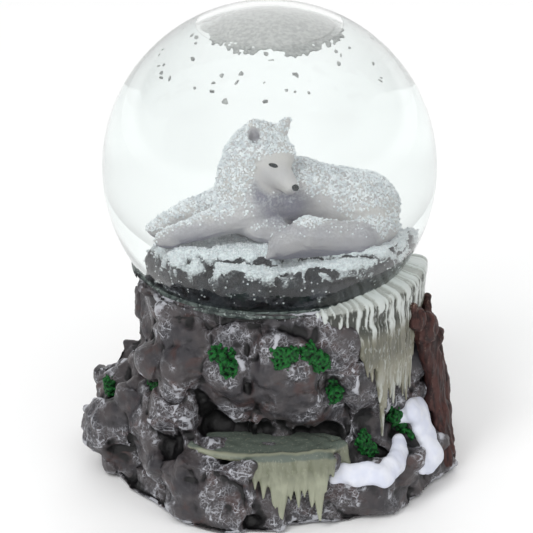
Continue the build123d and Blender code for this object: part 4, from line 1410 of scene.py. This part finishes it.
build()
keep("globe_cement", cement_paint())
keep("rubber_stopper", plain_paint("rubber_paint", (0.05, 0.055, 0.052), (0.07, 0.075, 0.07), 0.5, 0.6))
keep("sealant_bead", plain_paint("sealant_paint", (0.5, 0.5, 0.48), (0.6, 0.6, 0.58), 0.6, 0.35))
keep("base_cover", plain_paint("board_paint", (0.16, 0.12, 0.085), (0.22, 0.17, 0.12), 0.6, 0.7))
keep("felt_pad", plain_paint("felt_paint", (0.006, 0.006, 0.007), (0.014, 0.014, 0.016), 0.25, 0.8, 0.3))


# ------------------------------------------------------------------ stage, light and camera

def area_light(name, place, target, size, power, colour=(1, 1, 1)):
    data = bpy.data.lights.new(name, "AREA")
    data.shape, data.size, data.energy, data.color = "DISK", size, power, colour
    lamp = bpy.data.objects.new(name, data)
    bpy.context.scene.collection.objects.link(lamp)
    lamp.location = place
    lamp.visible_glossy = lamp.visible_transmission = False
    lamp.rotation_euler = (Vector(target) - Vector(place)).to_track_quat("-Z", "Y").to_euler()


def studio_sky():
    """White above, behind and below, grey at the sides, which gives the glass its edges."""
    world = bpy.data.worlds.new("studio")
    world.use_nodes = True
    bpy.context.scene.world = world
    tree = world.node_tree

    def node(kind, inputs=(), **settings):
        made = tree.nodes.new("ShaderNode" + kind)
        for key, value in settings.items():
            setattr(made, key, value)
        for socket, value in zip(made.inputs, inputs):
            if isinstance(value, bpy.types.NodeSocket):
                tree.links.new(value, socket)
            elif value is not None:
                socket.default_value = value
        return made

    way = node("SeparateXYZ", [node("TexCoord").outputs["Generated"]])
    across = node("Math", [way.outputs["X"]], operation="ABSOLUTE")
    up = node("MapRange", [way.outputs["Z"], 0.0, 0.25, 0.0, 1.0])
    both = node("Math", [across.outputs[0], up.outputs[0]], operation="MULTIPLY")
    shade = node("MapRange", [both.outputs[0], 0.35, 0.80, SKY, SIDE_WALLS], interpolation_type="SMOOTHSTEP")
    background = tree.nodes["Background"]
    tree.links.new(shade.outputs[0], background.inputs["Strength"])
    background.inputs["Color"].default_value = (1, 1, 1, 1)


def stage():
    bm = bmesh.new()
    bmesh.ops.create_circle(bm, cap_ends=True, segments=64, radius=3.0)
    mesh = bpy.data.meshes.new("floor")
    bm.to_mesh(mesh)
    bm.free()
    floor = bpy.data.objects.new("floor", mesh)
    bpy.context.scene.collection.objects.link(floor)
    p = Paint("floor_paint", Roughness=0.9, Specular_IOR_Level=0.1)
    p.colour(p.mix(p.noise(400, 1), (0.965, 0.965, 0.965), (0.975, 0.975, 0.975)))
    mesh.materials.append(p.material)
    studio_sky()
    area_light("key", (-0.55, -0.65, 0.95), (0, 0, 0.06), 0.5, 5.2)
    area_light("fill", (0.75, -0.45, 0.5), (0, 0, 0.06), 0.6, 0.8)
    area_light("back", (0.2, 0.8, 0.8), (0, 0, 0.08), 0.6, 1.0)


def camera():
    data = bpy.data.cameras.new("camera")
    data.lens, data.sensor_width = 155.1, 36.0
    data.clip_start, data.clip_end = 0.01, 20
    view = bpy.data.objects.new("camera", data)
    bpy.context.scene.collection.objects.link(view)
    place, target = Vector((-0.000897, -0.63948, 0.34615)), Vector((-0.000897, 0, 0.06143))
    view.location = place
    view.rotation_euler = (target - place).to_track_quat("-Z", "Y").to_euler()
    bpy.context.scene.camera = view


stage()
camera()
bpy.context.scene.view_settings.view_transform = "Standard"
